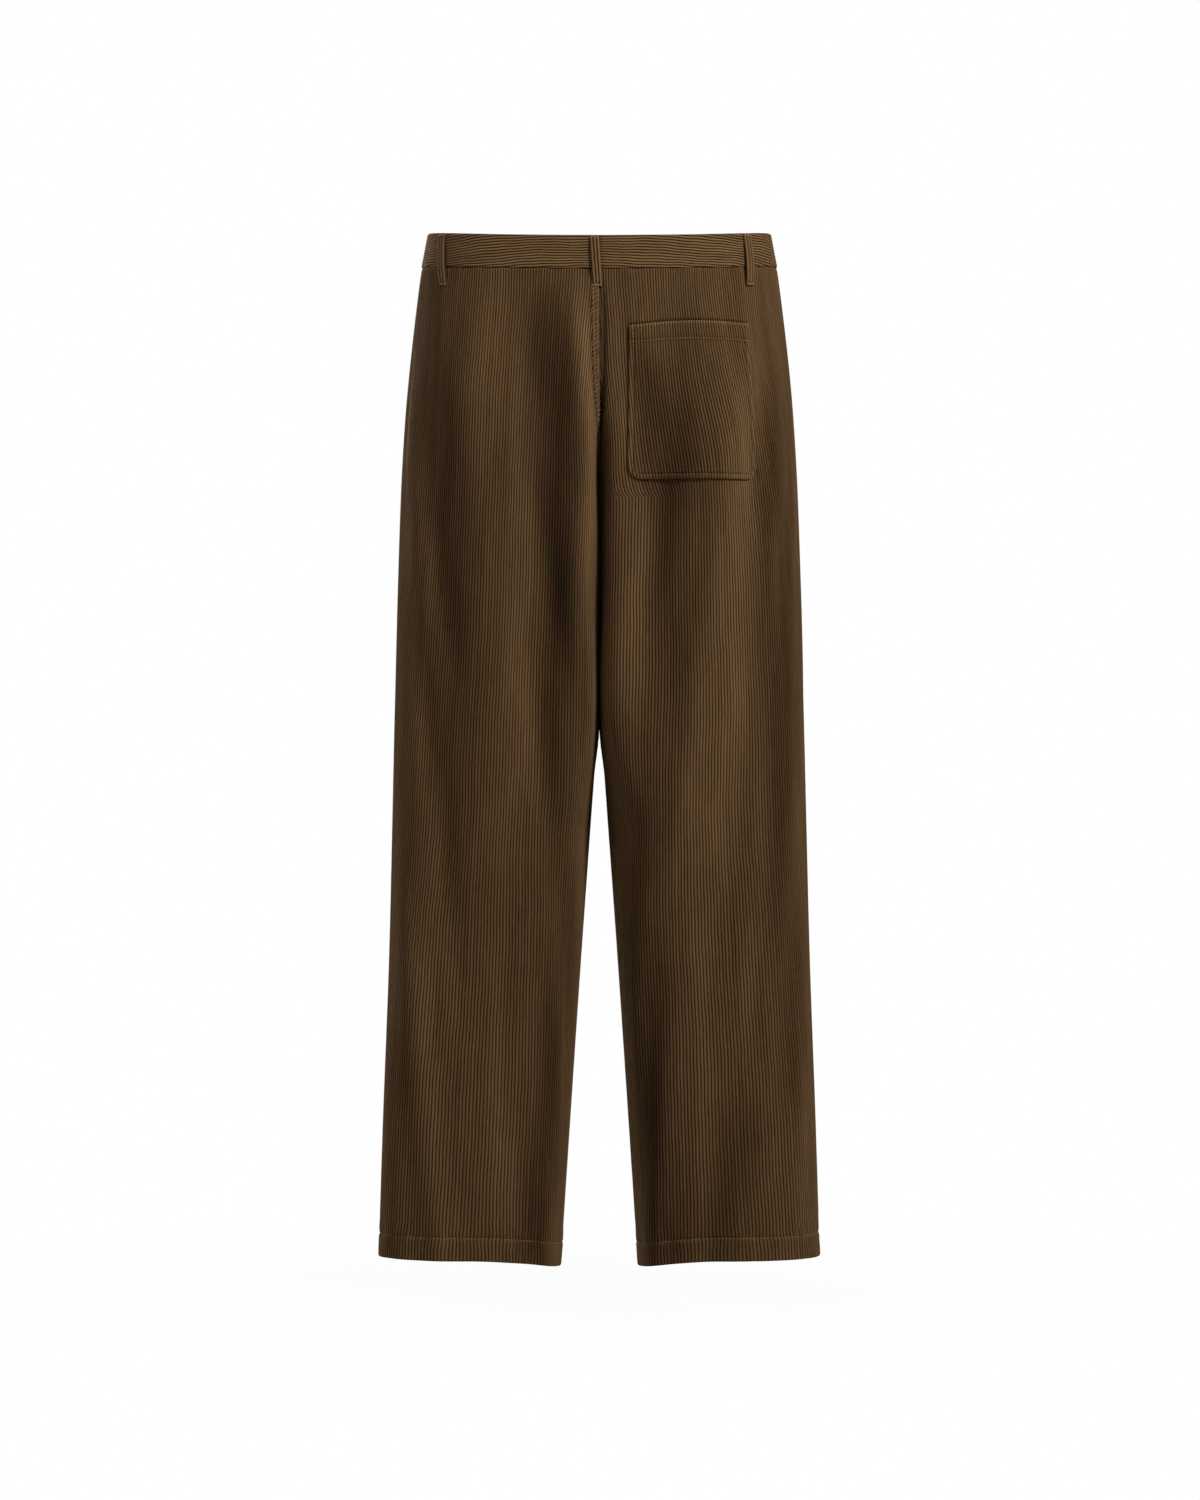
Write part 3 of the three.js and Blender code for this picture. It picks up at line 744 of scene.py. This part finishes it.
def makePanel(half, face):
    panel = panels[half, face]
    laps = (half, face) == ("left", "front")
    left = half == "left"

    def spanAt(level):
        low = 0.0
        if laps:
            rise = (level - fly["bottom"]) / fly["rise"]
            low = -fly["past"] if rise > 1.01 else fly["clear"] * float(smoothstep(rise))
        x = np.interp(level, (hem["level"], crotch["level"], 0), panel["grain"][::-1])
        pitch = np.interp(level, pitchAt["levels"], pitchAt["pitches"])
        return low, lengthOf(half, face, level), lengthAtX(half, face, level, x), pitch

    def shiftAt(level, across, high):
        fromSide = high - across
        sway = 0.5 * np.sin(level / 61 + fromSide / 47 + (2 if left else 0))
        sway = sway + 0.35 * np.sin(level / 27 - fromSide / 31)
        sway = sway + 0.2 * np.sin(level / 9.5 + fromSide / 13 + np.sin(fromSide / 37 + level / 83))
        nearHem = bell(level - hem["level"] - hem["height"], 16)
        sway = sway + 0.7 * np.sin(level / 4.1 + fromSide / 12) * nearHem
        if face == "back":
            pull = 14 if left else 5
            sway = sway + pull * smoothstep((-50 - level) / 190) * np.exp(-np.maximum(across, 0) / 45)
            sway = sway + (0 if left else sideLean(level, across))
            knee = bell(level + (620 if left else 480), 70) * bell(fromSide - 95, 55)
            sway = sway + (-2 if left else 3.2) * knee
        return sway

    # Painted shade in the ditch beside the seat seam, round the pocket and between the legs, over the painted
    # fold shading
    def paintedShadingAt(level, across):
        turn = paintedPanelShading(half, face, level, across)
        if face == "back":
            seat = smoothstep((-42 - level) / 30) * smoothstep((level + 330) / 110)
            valleyShade = 0.4 * bell(across - 9.5, 2) if left else 0.5 * bell(across - 1.2, 3.0 - level / 70)
            turn = turn - seat * valleyShade
            turn = turn if left else turn - pocketShade(level, across)
            shadeBetweenLegs = smoothstep((-240 - level) / 90) * smoothstep((level + 580) / 80)
            turn = turn - 0.5 * shadeBetweenLegs * bell(across, 9)
        return turn

    def wallAt(level):
        turned = float(smoothstep((hem["level"] + hem["height"] - level) / 1.5))
        return clothWall + (hem["wall"] - clothWall) * turned

    panel["piece"] = addPiece(waleSheet(
        face + half.capitalize() + "Panel", panelStations(half, face), spanAt,
        lambda level, across, moved: clothRow(half, face, level, across, moved),
        lambda level, across, low, high: panelLift(half, face, level, across, low, high),
        wallAt, panel["inner"], shiftAt=shiftAt, flatEdge=4, paintedShadingAt=paintedShadingAt,
        pileInside=lambda level: level < hem["level"] + hem["height"] - 0.5,
    ), "corduroy", *(f"{face}_{half}_{stretch}" for stretch in ("top", "thigh", "shin")))


for half, face in panels:
    makePanel(half, face)
print("leg panels made")

# Felled edge of the seat seam, which its two rows of stitches pull into a twist
seam = {
    "top": -35.5, "bottom": -272, "low": 0.1, "high": 8.4, "rise": 2.0, "twist": 0.8, "turn": 4.6,
    "wall": 1.2, "rows": (1.5, 6.4), "wale": 2.75,
}


def seamLift(level, across, low, high):
    share = (across - low) / (high - low)
    fade = smoothstep((level - seam["bottom"]) / 70)
    crown = seam["rise"] * np.maximum(np.sin(math.pi * np.clip(share, 0, 1)), 0) ** 0.6
    twist = seam["twist"] * np.sin(2 * math.pi * (level / seam["turn"] + 0.8 * share))
    lift = crown + twist
    for row in seam["rows"]:
        lift = lift - 0.5 * bell(across - row, 0.7)
    return lift * (0.25 + 0.75 * fade)


# Painted light and painted shade along the twist of the felled seam
def seamPaintedShading(level, across):
    share = (across - seam["low"]) / (seam["high"] - seam["low"])
    uneven = 0.8 * np.sin(level / 7.3) + 0.6 * np.sin(level / 4.1 + 1)
    return 0.15 + 0.6 * np.sin(2 * math.pi * (level / seam["turn"] + 0.8 * share) + 0.9 + uneven)


seam["piece"] = addPiece(waleSheet(
    "seatSeam", np.linspace(seam["top"], seam["bottom"], 280),
    lambda level: (seam["low"], seam["high"], seam["low"], seam["wale"]),
    lambda level, across, moved: clothRow("left", "back", level, across, moved),
    seamLift, lambda level: seam["wall"], 3, relief=0.7, paintedShadingAt=seamPaintedShading,
    shiftAt=lambda level, across, high: 0.5 * np.sin(2 * math.pi * level / seam["turn"]),
), "corduroy")
print("seat seam made")

# Waistband halves: their wales run round the body
# The waistband is painted lighter all over: painted light, as from a lamp above
bandLook = {"pitch": 2.9, "slant": 1.85, "over": 1.0, "relief": 1.7, "paintedShading": 0.46}
bandLap = {"past": 20, "ramp": 26, "lift": 3.3}
bands = {}


def makeBand(half):
    laps = half == "left"
    levels = -np.linspace(0, band["height"], 12)
    lengths = {
        face: np.array([lengthOf(half, face, level) for level in levels]) for face in ("back", "front")
    }
    around = lengths["back"].mean() + lengths["front"].mean()
    share = lengths["back"].mean() / around

    def lengthAt(face, across):
        return np.interp(across, -levels, lengths[face])

    # A station is the share of the half's length, and past 1 it is on the lap
    def pointsAt(station, across, moved):
        if station <= share:
            return clothAt(half, "back", -across, lengthAt("back", across) * station / share, moved)
        along = lengthAt("front", across) * (1 - station) / (1 - share)
        if station > 1:
            along = np.full(len(across), (1 - station) * around)
        lift = bandLap["lift"] * smoothstep(1 - along / bandLap["ramp"]) if laps else 0
        return clothAt(half, "front", -across, along, moved + lift)

    def spanAt(station):
        edge = pointsAt(min(station, 1), np.array([0.0]), np.array([0.0]))[0]
        return -bandLook["over"], band["height"], bandLook["slant"] * 1000 * edge[2], bandLook["pitch"]

    end = 1 + bandLap["past"] / around if laps else 1
    edges = [0.0008, 0.002, 0.005]
    stations = {*np.linspace(0, share, 64), *np.linspace(share, end, 62), *edges}
    stations = sorted(stations | {end - edge for edge in edges})

    def liftAt(station, across, low, high):
        lift = band["proud"] - 0.7 * bell(across - low, 0.8) - 0.9 * bell(high - across, 1.1)
        lift = lift + 0.3 * np.sin(station * around / 21 + across / 30)
        lift = lift + 0.35 * np.sin(station * around / 5.2) * bell(high - across, 7)
        return lift - 0.7 * bell(station * around, 1.1) - 0.7 * bell((end - station) * around, 0.9)

    def shiftAt(station, across, high):
        turn = station * around
        sway = 0.6 * np.sin(turn / 26 + across / 9 + (0 if laps else 2))
        sway = sway + 0.4 * np.sin(turn / 11 - across / 14)
        return sway + 0.22 * np.sin(turn / 4.7 + across / 5)

    made = waleSheet(
        "waistband" + half.capitalize(), stations, spanAt, pointsAt, liftAt,
        lambda station: band["wall"], 6, relief=bandLook["relief"], shiftAt=shiftAt,
        paintedShadingAt=lambda station, across: np.full(len(across), bandLook["paintedShading"]),
    )
    bands[half] = addPiece(made, "corduroy", "waistband_" + half)
    layer = made.data.uv_layers["wales"].data
    flat = np.empty(len(layer) * 2, dtype=np.float32)
    layer.foreach_get("uv", flat)
    flat[1::2] *= around
    layer.foreach_set("uv", flat)


for half in ("left", "right"):
    makeBand(half)
print("waistband made")

# Belt loops
loop = {"width": 10, "length": 54.5, "wall": 2, "bow": 2.6, "edge": 0.9, "groove": 1.9, "fold": 3.2}
loopColumns = ("name", "node", "half", "face", "top", "bottom")
loops = [dict(zip(loopColumns, row)) for row in (
    ("loopBackCentre", "loop_back_centre", "left", "back", 5, 1.6),
    ("loopBackLeft", "loop_back_left", "left", "back", 161.5, 160.5),
    ("loopBackRight", "loop_back_right", "right", "back", 151.5, 155),
    ("loopFrontLeft", "loop_front_left", "left", "front", 98, 99),
    ("loopFrontRight", "loop_front_right", "right", "front", 98, 99),
)]


def loopPoints(spec, drop, across, moved):
    share = drop / loop["length"]
    x = spec["top"] + (spec["bottom"] - spec["top"]) * share
    middle = lengthAtX(spec["half"], spec["face"], -drop, x)
    seat = 0.4 + band["proud"] * (1 - share)
    bow = seat + loop["bow"] * math.sin(math.pi * min(max(share, 0), 1)) ** 0.8 + loop["wall"]
    return clothRow(spec["half"], spec["face"], -drop, middle + across, moved + bow)


def loopLift(drop, across, low, high):
    lift = -0.8 * bell(across - low, loop["edge"]) - 0.8 * bell(high - across, loop["edge"])
    for edge in (across - low, high - across):
        lift = lift - 0.35 * bell(edge - loop["groove"], 0.5)
    for end in (drop, loop["length"] - drop, loop["length"] - loop["fold"] - drop):
        lift = lift - 0.9 * bell(end, loop["edge"])
    return lift


loopHalf = loop["width"] / 2
for spec in loops:
    drops = {*np.linspace(0, loop["length"], 24), 0.5, 1.2}
    drops = sorted(drops | {loop["length"] - back for back in (0.5, 1.2, 2.4, 3.2, 4.2)})
    # Each loop is painted lighter, with painted shade along the grooves beside its middle wale
    spec["piece"] = addPiece(waleSheet(
        spec["name"], drops, lambda drop: (-loopHalf, loopHalf, -loopHalf, loop["width"] / 3),
        lambda drop, across, moved, spec=spec: loopPoints(spec, drop, across, moved),
        loopLift, lambda drop: loop["wall"], 6, relief=1.5,
        paintedShadingAt=lambda drop, across: 0.5 - 0.45 * bell(np.abs(across) - 2.2, 1.1),
    ), "corduroy", spec["node"])
print("belt loops made")


def pocketPoints(drop, along, moved):
    inside, outside, trim = pocketEdges(drop)
    share = drop / pocketHeight
    t = np.clip((along - inside - trim) / (outside - inside - 2 * trim), 0, 1)
    rise = pocketRise(t) * (1 - share)
    return clothAt("right", "back", pocket["top"] - drop + rise, along, moved)


def pocketSpan(drop):
    inside, outside, trim = pocketEdges(drop)
    share = pocket["grain"] + pocket["grainLean"] * drop / pocketHeight
    return inside + trim, outside - trim, inside + (outside - inside) * share, pocket["pitch"]


def pocketLift(drop, across, low, high):
    edge = np.minimum(np.minimum(across - low, high - across), pocketHeight - drop)
    lift = pocket["standOff"] + pocket["wall"] - 0.8 * bell(edge, 0.8)
    lift = lift - 0.7 * bell(edge - pocket["stitchIn"], 1.0)
    lift = lift + pocket["allowance"] * smoothstep((9 - edge) / 2.5)
    lift = lift + 0.9 * bell(drop, 14) * smoothstep(edge / 25) - 0.7 * bell(drop, 0.8)
    lift = lift + 0.3 * np.sin(drop / 3.1 + across / 3.1) * bell(edge - pocket["stitchIn"], 4)
    return lift + 0.5 * smoothstep((pocket["hem"] - drop) / 1.5) - 0.6 * bell(drop - pocket["hem"], 1.0)


# The pile is lighter on the pocket's edges from wear, with a painted highlight along its top edge, and
# painted shade in its stitched groove and under its hem row
def pocketPaintedShading(drop, across):
    low, high, grain, pitch = pocketSpan(drop)
    edge = np.minimum(np.minimum(across - low, high - across), pocketHeight - drop)
    wearAndShading = 0.12 * bell(edge - 1.5, 1.8) - 0.5 * bell(edge - pocket["stitchIn"] - 1.5, 1.0)
    wearAndShading = wearAndShading + 0.6 * bell(drop - 1.0, 1.3) - 0.3 * bell(drop - pocket["hem"] - 1.4, 1.0)
    return wearAndShading + paintedPanelShading("right", "back", pocket["top"] - drop, across)


cornerShares = (0.12, 0.25, 0.38, 0.5, 0.62, 0.72, 0.81, 0.88, 0.94, 0.98, 1)
pocketDrops = {*np.linspace(0, pocketHeight - pocket["corner"], 34), 0.5, 1.2, 2.4}
pocketDrops |= {pocket["hem"] + past for past in (-1, 0, 1)}
pocketDrops |= {pocketHeight - pocket["corner"] * (1 - share) for share in cornerShares}


def pocketShift(drop, across, high):
    return 0.5 * np.sin(drop / 33 + across / 41) + sideLean(pocket["top"] - drop, across)


pocket["piece"] = addPiece(waleSheet(
    "backPocket", sorted(pocketDrops), pocketSpan, pocketPoints, pocketLift,
    lambda drop: pocket["wall"], 16, flatEdge=3, shiftAt=pocketShift, paintedShadingAt=pocketPaintedShading,
), "corduroy", "back_pocket")
print("pocket made")

# Rows of stitches and zip teeth: one shape set along a path
stitch = {"length": 2.2, "thick": 0.72, "spacing": 3.0, "proud": 0.5}


def rowTree(name, shape, **shapeSizes):
    tree = bpy.data.node_groups.new(name, "GeometryNodeTree")
    inputs = {"Path": "Geometry", "Spacing": "Float", "Size": "Vector", "Material": "Material"}
    for label, kind in inputs.items():
        tree.interface.new_socket(label, in_out="INPUT", socket_type="NodeSocket" + kind)
    tree.interface.new_socket("Row", in_out="OUTPUT", socket_type="NodeSocketGeometry")
    given = addNode(tree, "NodeGroupInput").outputs
    curve = addNode(tree, "GeometryNodeMeshToCurve", given["Path"]).outputs[0]
    evenly = addNode(tree, "GeometryNodeResampleCurve", curve, mode="LENGTH")
    feed(tree, evenly.inputs["Length"], given["Spacing"])
    single = addNode(tree, shape)
    for label, value in shapeSizes.items():
        single.inputs[label].default_value = value
    turned = addNode(tree, "FunctionNodeAlignRotationToVector", axis="Z")
    feed(tree, turned.inputs["Vector"], addNode(tree, "GeometryNodeInputTangent").outputs[0])
    placed = addNode(tree, "GeometryNodeInstanceOnPoints", evenly.outputs[0])
    feed(tree, placed.inputs["Instance"], single.outputs[0])
    feed(tree, placed.inputs["Rotation"], turned.outputs[0])
    feed(tree, placed.inputs["Scale"], given["Size"])
    real = addNode(tree, "GeometryNodeRealizeInstances", placed.outputs[0])
    finished = addNode(tree, "GeometryNodeSetMaterial", real.outputs[0])
    feed(tree, finished.inputs["Material"], given["Material"])
    addNode(tree, "NodeGroupOutput", finished.outputs[0])
    return tree


stitchRow = rowTree("stitchRow", "GeometryNodeMeshUVSphere", Segments=8, Rings=6, Radius=0.5)
toothRow = rowTree("toothRow", "GeometryNodeMeshCube")


# The sizes are in millimetres and the paths in metres
def addRow(name, tree, paths, size, spacing, material, slot):
    points = [tuple(point) for path in paths for point in path]
    edges, start = [], 0
    for path in paths:
        edges += [(start + k, start + k + 1) for k in range(len(path) - 1)]
        start += len(path)
    mesh = bpy.data.meshes.new(name + "Path")
    mesh.from_pydata(points, edges, [])
    holder = addObject(name + "Path", mesh)
    modifier = holder.modifiers.new("row", "NODES")
    modifier.node_group = tree
    sockets = {item.name: item.identifier for item in tree.interface.items_tree if item.in_out == "INPUT"}
    modifier[sockets["Spacing"]] = spacing / 1000
    modifier[sockets["Size"]] = [edge / 1000 for edge in size]
    modifier[sockets["Material"]] = material
    made = bpy.data.meshes.new_from_object(holder.evaluated_get(bpy.context.evaluated_depsgraph_get()))
    holder.modifiers.remove(modifier)
    bpy.data.objects.remove(holder)
    made.name = name
    made.polygons.foreach_set("use_smooth", np.full(len(made.polygons), tree == stitchRow))
    return addPiece(addObject(name, made), slot)


def addStitches(name, paths, spacing=stitch["spacing"], length=stitch["length"]):
    size = (stitch["thick"], stitch["thick"], length)
    return addRow(name, stitchRow, paths, size, spacing, thread, "corduroy")


def onPanel(half, face, level, along, extra=0.0):
    along = np.atleast_1d(np.asarray(along, float))
    high = lengthOf(half, face, level)
    lift = panelLift(half, face, level, along, 0.0, high) + stitch["proud"] + extra
    return clothRow(half, face, level, along, lift)


def downPanel(half, face, levels, places):
    return np.concatenate([onPanel(half, face, level, place) for level, place in zip(levels, places)])


# The hem line goes round each leg, and the seat seam has two rows on its left side
def hemLine(half, face):
    level = hem["level"] + hem["height"]
    return onPanel(half, face, level, np.linspace(1, lengthOf(half, face, level) - 1.2, 120), -0.3)


hemStitches = {}
for half in ("left", "right"):
    lines = [hemLine(half, face) for face in ("back", "front")]
    hemStitches[half] = addStitches("hemStitches" + half.capitalize(), lines)
seatLevels = np.linspace(-37, seam["bottom"], 120)


def seamRow(along):
    place = np.array([along])
    lift = lambda level: seamLift(level, place, seam["low"], seam["high"]) + stitch["proud"]
    return [clothRow("left", "back", level, place, lift(level))[0] for level in seatLevels]


seatStitches = addStitches("seatStitches", [seamRow(along) for along in seam["rows"]])

# The fly line runs down the left front and turns in to the centre
flyLine = {"top": -37, "along": 34, "turn": -150, "end": 1.5}
around = np.linspace(0, math.pi / 2, 30)
reach = flyLine["along"] - flyLine["end"]
straight = np.linspace(flyLine["top"], flyLine["turn"], 50)[:-1]
flyLevels = np.concatenate([straight, flyLine["turn"] - reach * np.sin(around)])
curved = flyLine["end"] + reach * np.cos(around)
flyPlaces = np.concatenate([np.full(len(straight), float(flyLine["along"])), curved])
flyStitches = addStitches("flyStitches", [downPanel("left", "front", flyLevels, flyPlaces)])

# Bar tacks across both ends of each belt loop
tack = {"reach": 3.7, "ends": (0.9, 2.1), "spacing": 0.8, "length": 1.3, "over": 0.3}


def tackLine(spec, drop):
    across = np.linspace(-tack["reach"], tack["reach"], 8)
    lift = loopLift(drop, across, -loopHalf, loopHalf) + stitch["proud"] + tack["over"]
    return loopPoints(spec, drop, across, lift)


for spec in loops:
    drops = [*tack["ends"], *(loop["length"] - back for back in tack["ends"])]
    paths = [tackLine(spec, drop) for drop in drops]
    spec["tacks"] = addStitches(spec["name"] + "Tacks", paths, tack["spacing"], tack["length"])


# The pocket has one row round its three sewn edges and one along its hem
def pocketSeam(drop, fromEdge, side):
    inside, outside, trim = pocketEdges(drop)
    along = np.array([inside + fromEdge if side == "inside" else outside - fromEdge])
    low, high = inside + trim, outside - trim
    return pocketPoints(drop, along, pocketLift(drop, along, low, high) + stitch["proud"])[0]


def pocketCorner(side):
    bend = pocket["corner"] - pocket["stitchIn"]
    turns = np.linspace(0, math.pi / 2, 9)[1:]
    drops = pocketHeight - pocket["corner"] + bend * np.sin(turns)
    edges = pocket["corner"] - bend * np.cos(turns)
    return [pocketSeam(drop, edge, side) for drop, edge in zip(drops, edges)]


# A row across the pocket, from one distance inside its edges to the same on the other side
def pocketRow(drop, fromEdge, count):
    inside, outside, trim = pocketEdges(drop)
    places = np.linspace(fromEdge, outside - inside - fromEdge, count)
    return [pocketSeam(drop, along, "inside") for along in places]


sideDrops = np.linspace(0.8, pocketHeight - pocket["corner"], 60)
pocketRound = [pocketSeam(drop, pocket["stitchIn"], "inside") for drop in sideDrops]
pocketRound += pocketCorner("inside")
pocketRound += pocketRow(pocketHeight - pocket["stitchIn"], pocket["corner"], 50)[1:-1]
pocketRound += pocketCorner("outside")[::-1]
pocketRound += [pocketSeam(drop, pocket["stitchIn"], "outside") for drop in sideDrops[::-1]]
pocketStitches = addStitches("pocketStitches", [pocketRound, pocketRow(pocket["hem"], 1, 60)])
print("stitches made")

# Waist button
button = {"level": -17.15, "along": 10, "standOff": 0.8, "holes": 1.5, "holeSize": 0.85, "facets": 48}
buttonProfile = [
    (0, -0.5), (6.6, -0.5), (7.9, -0.2), (8.4, 0.5), (8.5, 1.3), (8.2, 2.1), (7.6, 2.45), (6.9, 2.4),
    (6.2, 1.9), (5.4, 1.5), (4.4, 1.35), (0, 1.3),
]


# A ring of points for each place on the profile, turned about its axis
def turnedMesh(name, profile, facets, centre=(0, 0)):
    points, faces, rings = [], [], []
    for radius, height in profile:
        count = facets if radius > 0 else 1
        rings.append([len(points) + k for k in range(count)])
        turns = 2 * np.pi * np.arange(count) / count
        for turn in turns:
            points.append((centre[0] + radius * math.cos(turn), centre[1] + radius * math.sin(turn), height))
    for low, high in zip(rings, rings[1:]):
        for k in range(facets):
            after = (k + 1) % facets
            below = (low[k % len(low)], low[after % len(low)])
            above = (high[after % len(high)], high[k % len(high)])
            faces.append(tuple(dict.fromkeys(below + above)))
    mesh = bpy.data.meshes.new(name)
    mesh.from_pydata(points, [], faces)
    return mesh


def onLap(level):
    lift = np.array([band["proud"] + bandLap["lift"] + button["standOff"]])
    return Vector(clothRow("right", "front", level, np.array([float(button["along"])]), lift)[0])


def makeButton():
    disc = addObject("waistButton", turnedMesh("waistButton", buttonProfile, button["facets"]))
    disc.data.materials.append(horn)
    cutters = []
    for number, (x, y) in enumerate(((1, 1), (-1, 1), (-1, -1), (1, -1))):
        hole = [(0, -2), (button["holeSize"], -2), (button["holeSize"], 4), (0, 4)]
        centre = (x * button["holes"], y * button["holes"])
        cutter = addObject(f"buttonHole{number}", turnedMesh("hole", hole, 14, centre))
        cutter.data.materials.append(horn)
        modifier = disc.modifiers.new("hole", "BOOLEAN")
        modifier.object, modifier.operation, modifier.solver = cutter, "DIFFERENCE", "EXACT"
        cutters.append(cutter)
    bpy.context.view_layer.update()
    cut = bpy.data.meshes.new_from_object(disc.evaluated_get(bpy.context.evaluated_depsgraph_get()))
    disc.modifiers.clear()
    disc.data = cut
    for cutter in cutters:
        bpy.data.objects.remove(cutter)
    down = onLap(button["level"] - 5) - onLap(button["level"] + 5)
    tilt = math.atan2(down.y, -down.z)
    across, away = Vector((1, 0, 0)), Vector((0, math.cos(tilt), math.sin(tilt)))
    base, along = onLap(button["level"]), away.cross(across)
    place = lambda point: base + (across * point[0] + along * point[1] + away * point[2]) / 1000
    for vertex in cut.vertices:
        vertex.co = place(vertex.co)
    cut.polygons.foreach_set("use_smooth", np.ones(len(cut.polygons), dtype=bool))
    cut.set_sharp_from_angle(angle=math.radians(38))
    cut.update()
    addPiece(disc, "button", "waist_button")
    ends = button["holes"]
    bar = ((-ends, 0.9), (-ends * 0.6, 1.62), (ends * 0.6, 1.62), (ends, 0.9))
    paths = [[place(Vector((x, y, height))) for x, height in bar] for y in (-ends, ends)]
    addStitches("buttonThread", paths, 0.3, 0.5)


makeButton()
print("button made")

# Fly zip: a tape behind the fly with two rows of teeth that interlock
zipLook = {
    "top": -40, "bottom": -178, "half": 13, "under": 0.3, "wall": 1.2, "weave": 2.6,
    "tooth": (4.6, 1.7, 1.15), "pitch": 2.3,
}


def zipDepth(extra):
    return -(clothWall + zipLook["under"] + extra)


def makeZip():
    levels = np.linspace(zipLook["top"], zipLook["bottom"], 50)
    half = zipLook["half"]
    strip = waleSheet(
        "zipTape", levels, lambda level: (-half, half, -half, zipLook["weave"]),
        lambda level, across, moved: clothRow("right", "front", level, across, moved),
        lambda level, across, low, high: np.full(len(across), zipDepth(0)),
        lambda level: zipLook["wall"], 8, relief=0, materials=(tape, tape),
    )
    addPiece(strip, "zip", "fly_zip")
    rows, depth = [], np.array([zipDepth(zipLook["wall"] + 0.2)])
    for side, offset in ((-1, 0), (1, zipLook["pitch"] / 2)):
        heights = np.linspace(zipLook["bottom"] + 2 + offset, zipLook["top"] - 4 + offset, 60)
        middle = clothRow("right", "front", 0, np.array([0.0]), np.array([0.0]))[0][0] + side * 0.0009
        path = [clothRow("right", "front", level, np.array([0.5]), depth)[0] for level in heights]
        rows.append([(middle, point[1], point[2]) for point in path])
    addRow("zipTeeth", toothRow, rows, zipLook["tooth"], zipLook["pitch"], brass, "zip")


makeZip()
print("zip made")

for entry in pieces:
    piece = entry["piece"]
    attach(piece, "root")
    if entry["nodes"]:
        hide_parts(*entry["nodes"])
    print(piece.name, len(piece.data.polygons))


# The cut of each sheet, in metres, before it was sewn
def panelCut(half, face):
    levels = np.linspace(panelTop, hem["level"], 60)
    widths = np.array([lengthOf(half, face, level) for level in levels]) / 1000
    drop, turned = (panelTop - hem["level"]) / 1000, hem["height"] / 1000
    area = float(widths.mean() * drop + widths[-1] * turned)
    return {"flat": (float(widths.max()), drop + turned), "area": area}


for (half, face), panel in panels.items():
    sewn = [hemStitches[half]]
    if half == "left":
        sewn += [seam["piece"], seatStitches] if face == "back" else [flyStitches]
    cut = panelCut(half, face)
    print(panel["piece"].name, cut)
for half, made in bands.items():
    long = sum(lengthOf(half, face, -band["height"] / 2) for face in ("back", "front"))
    long = long + (bandLap["past"] if half == "left" else 0)
    print(made.name, long)
for spec in loops:
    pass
inside, outside, trim = pocketEdges(pocketHeight / 2)
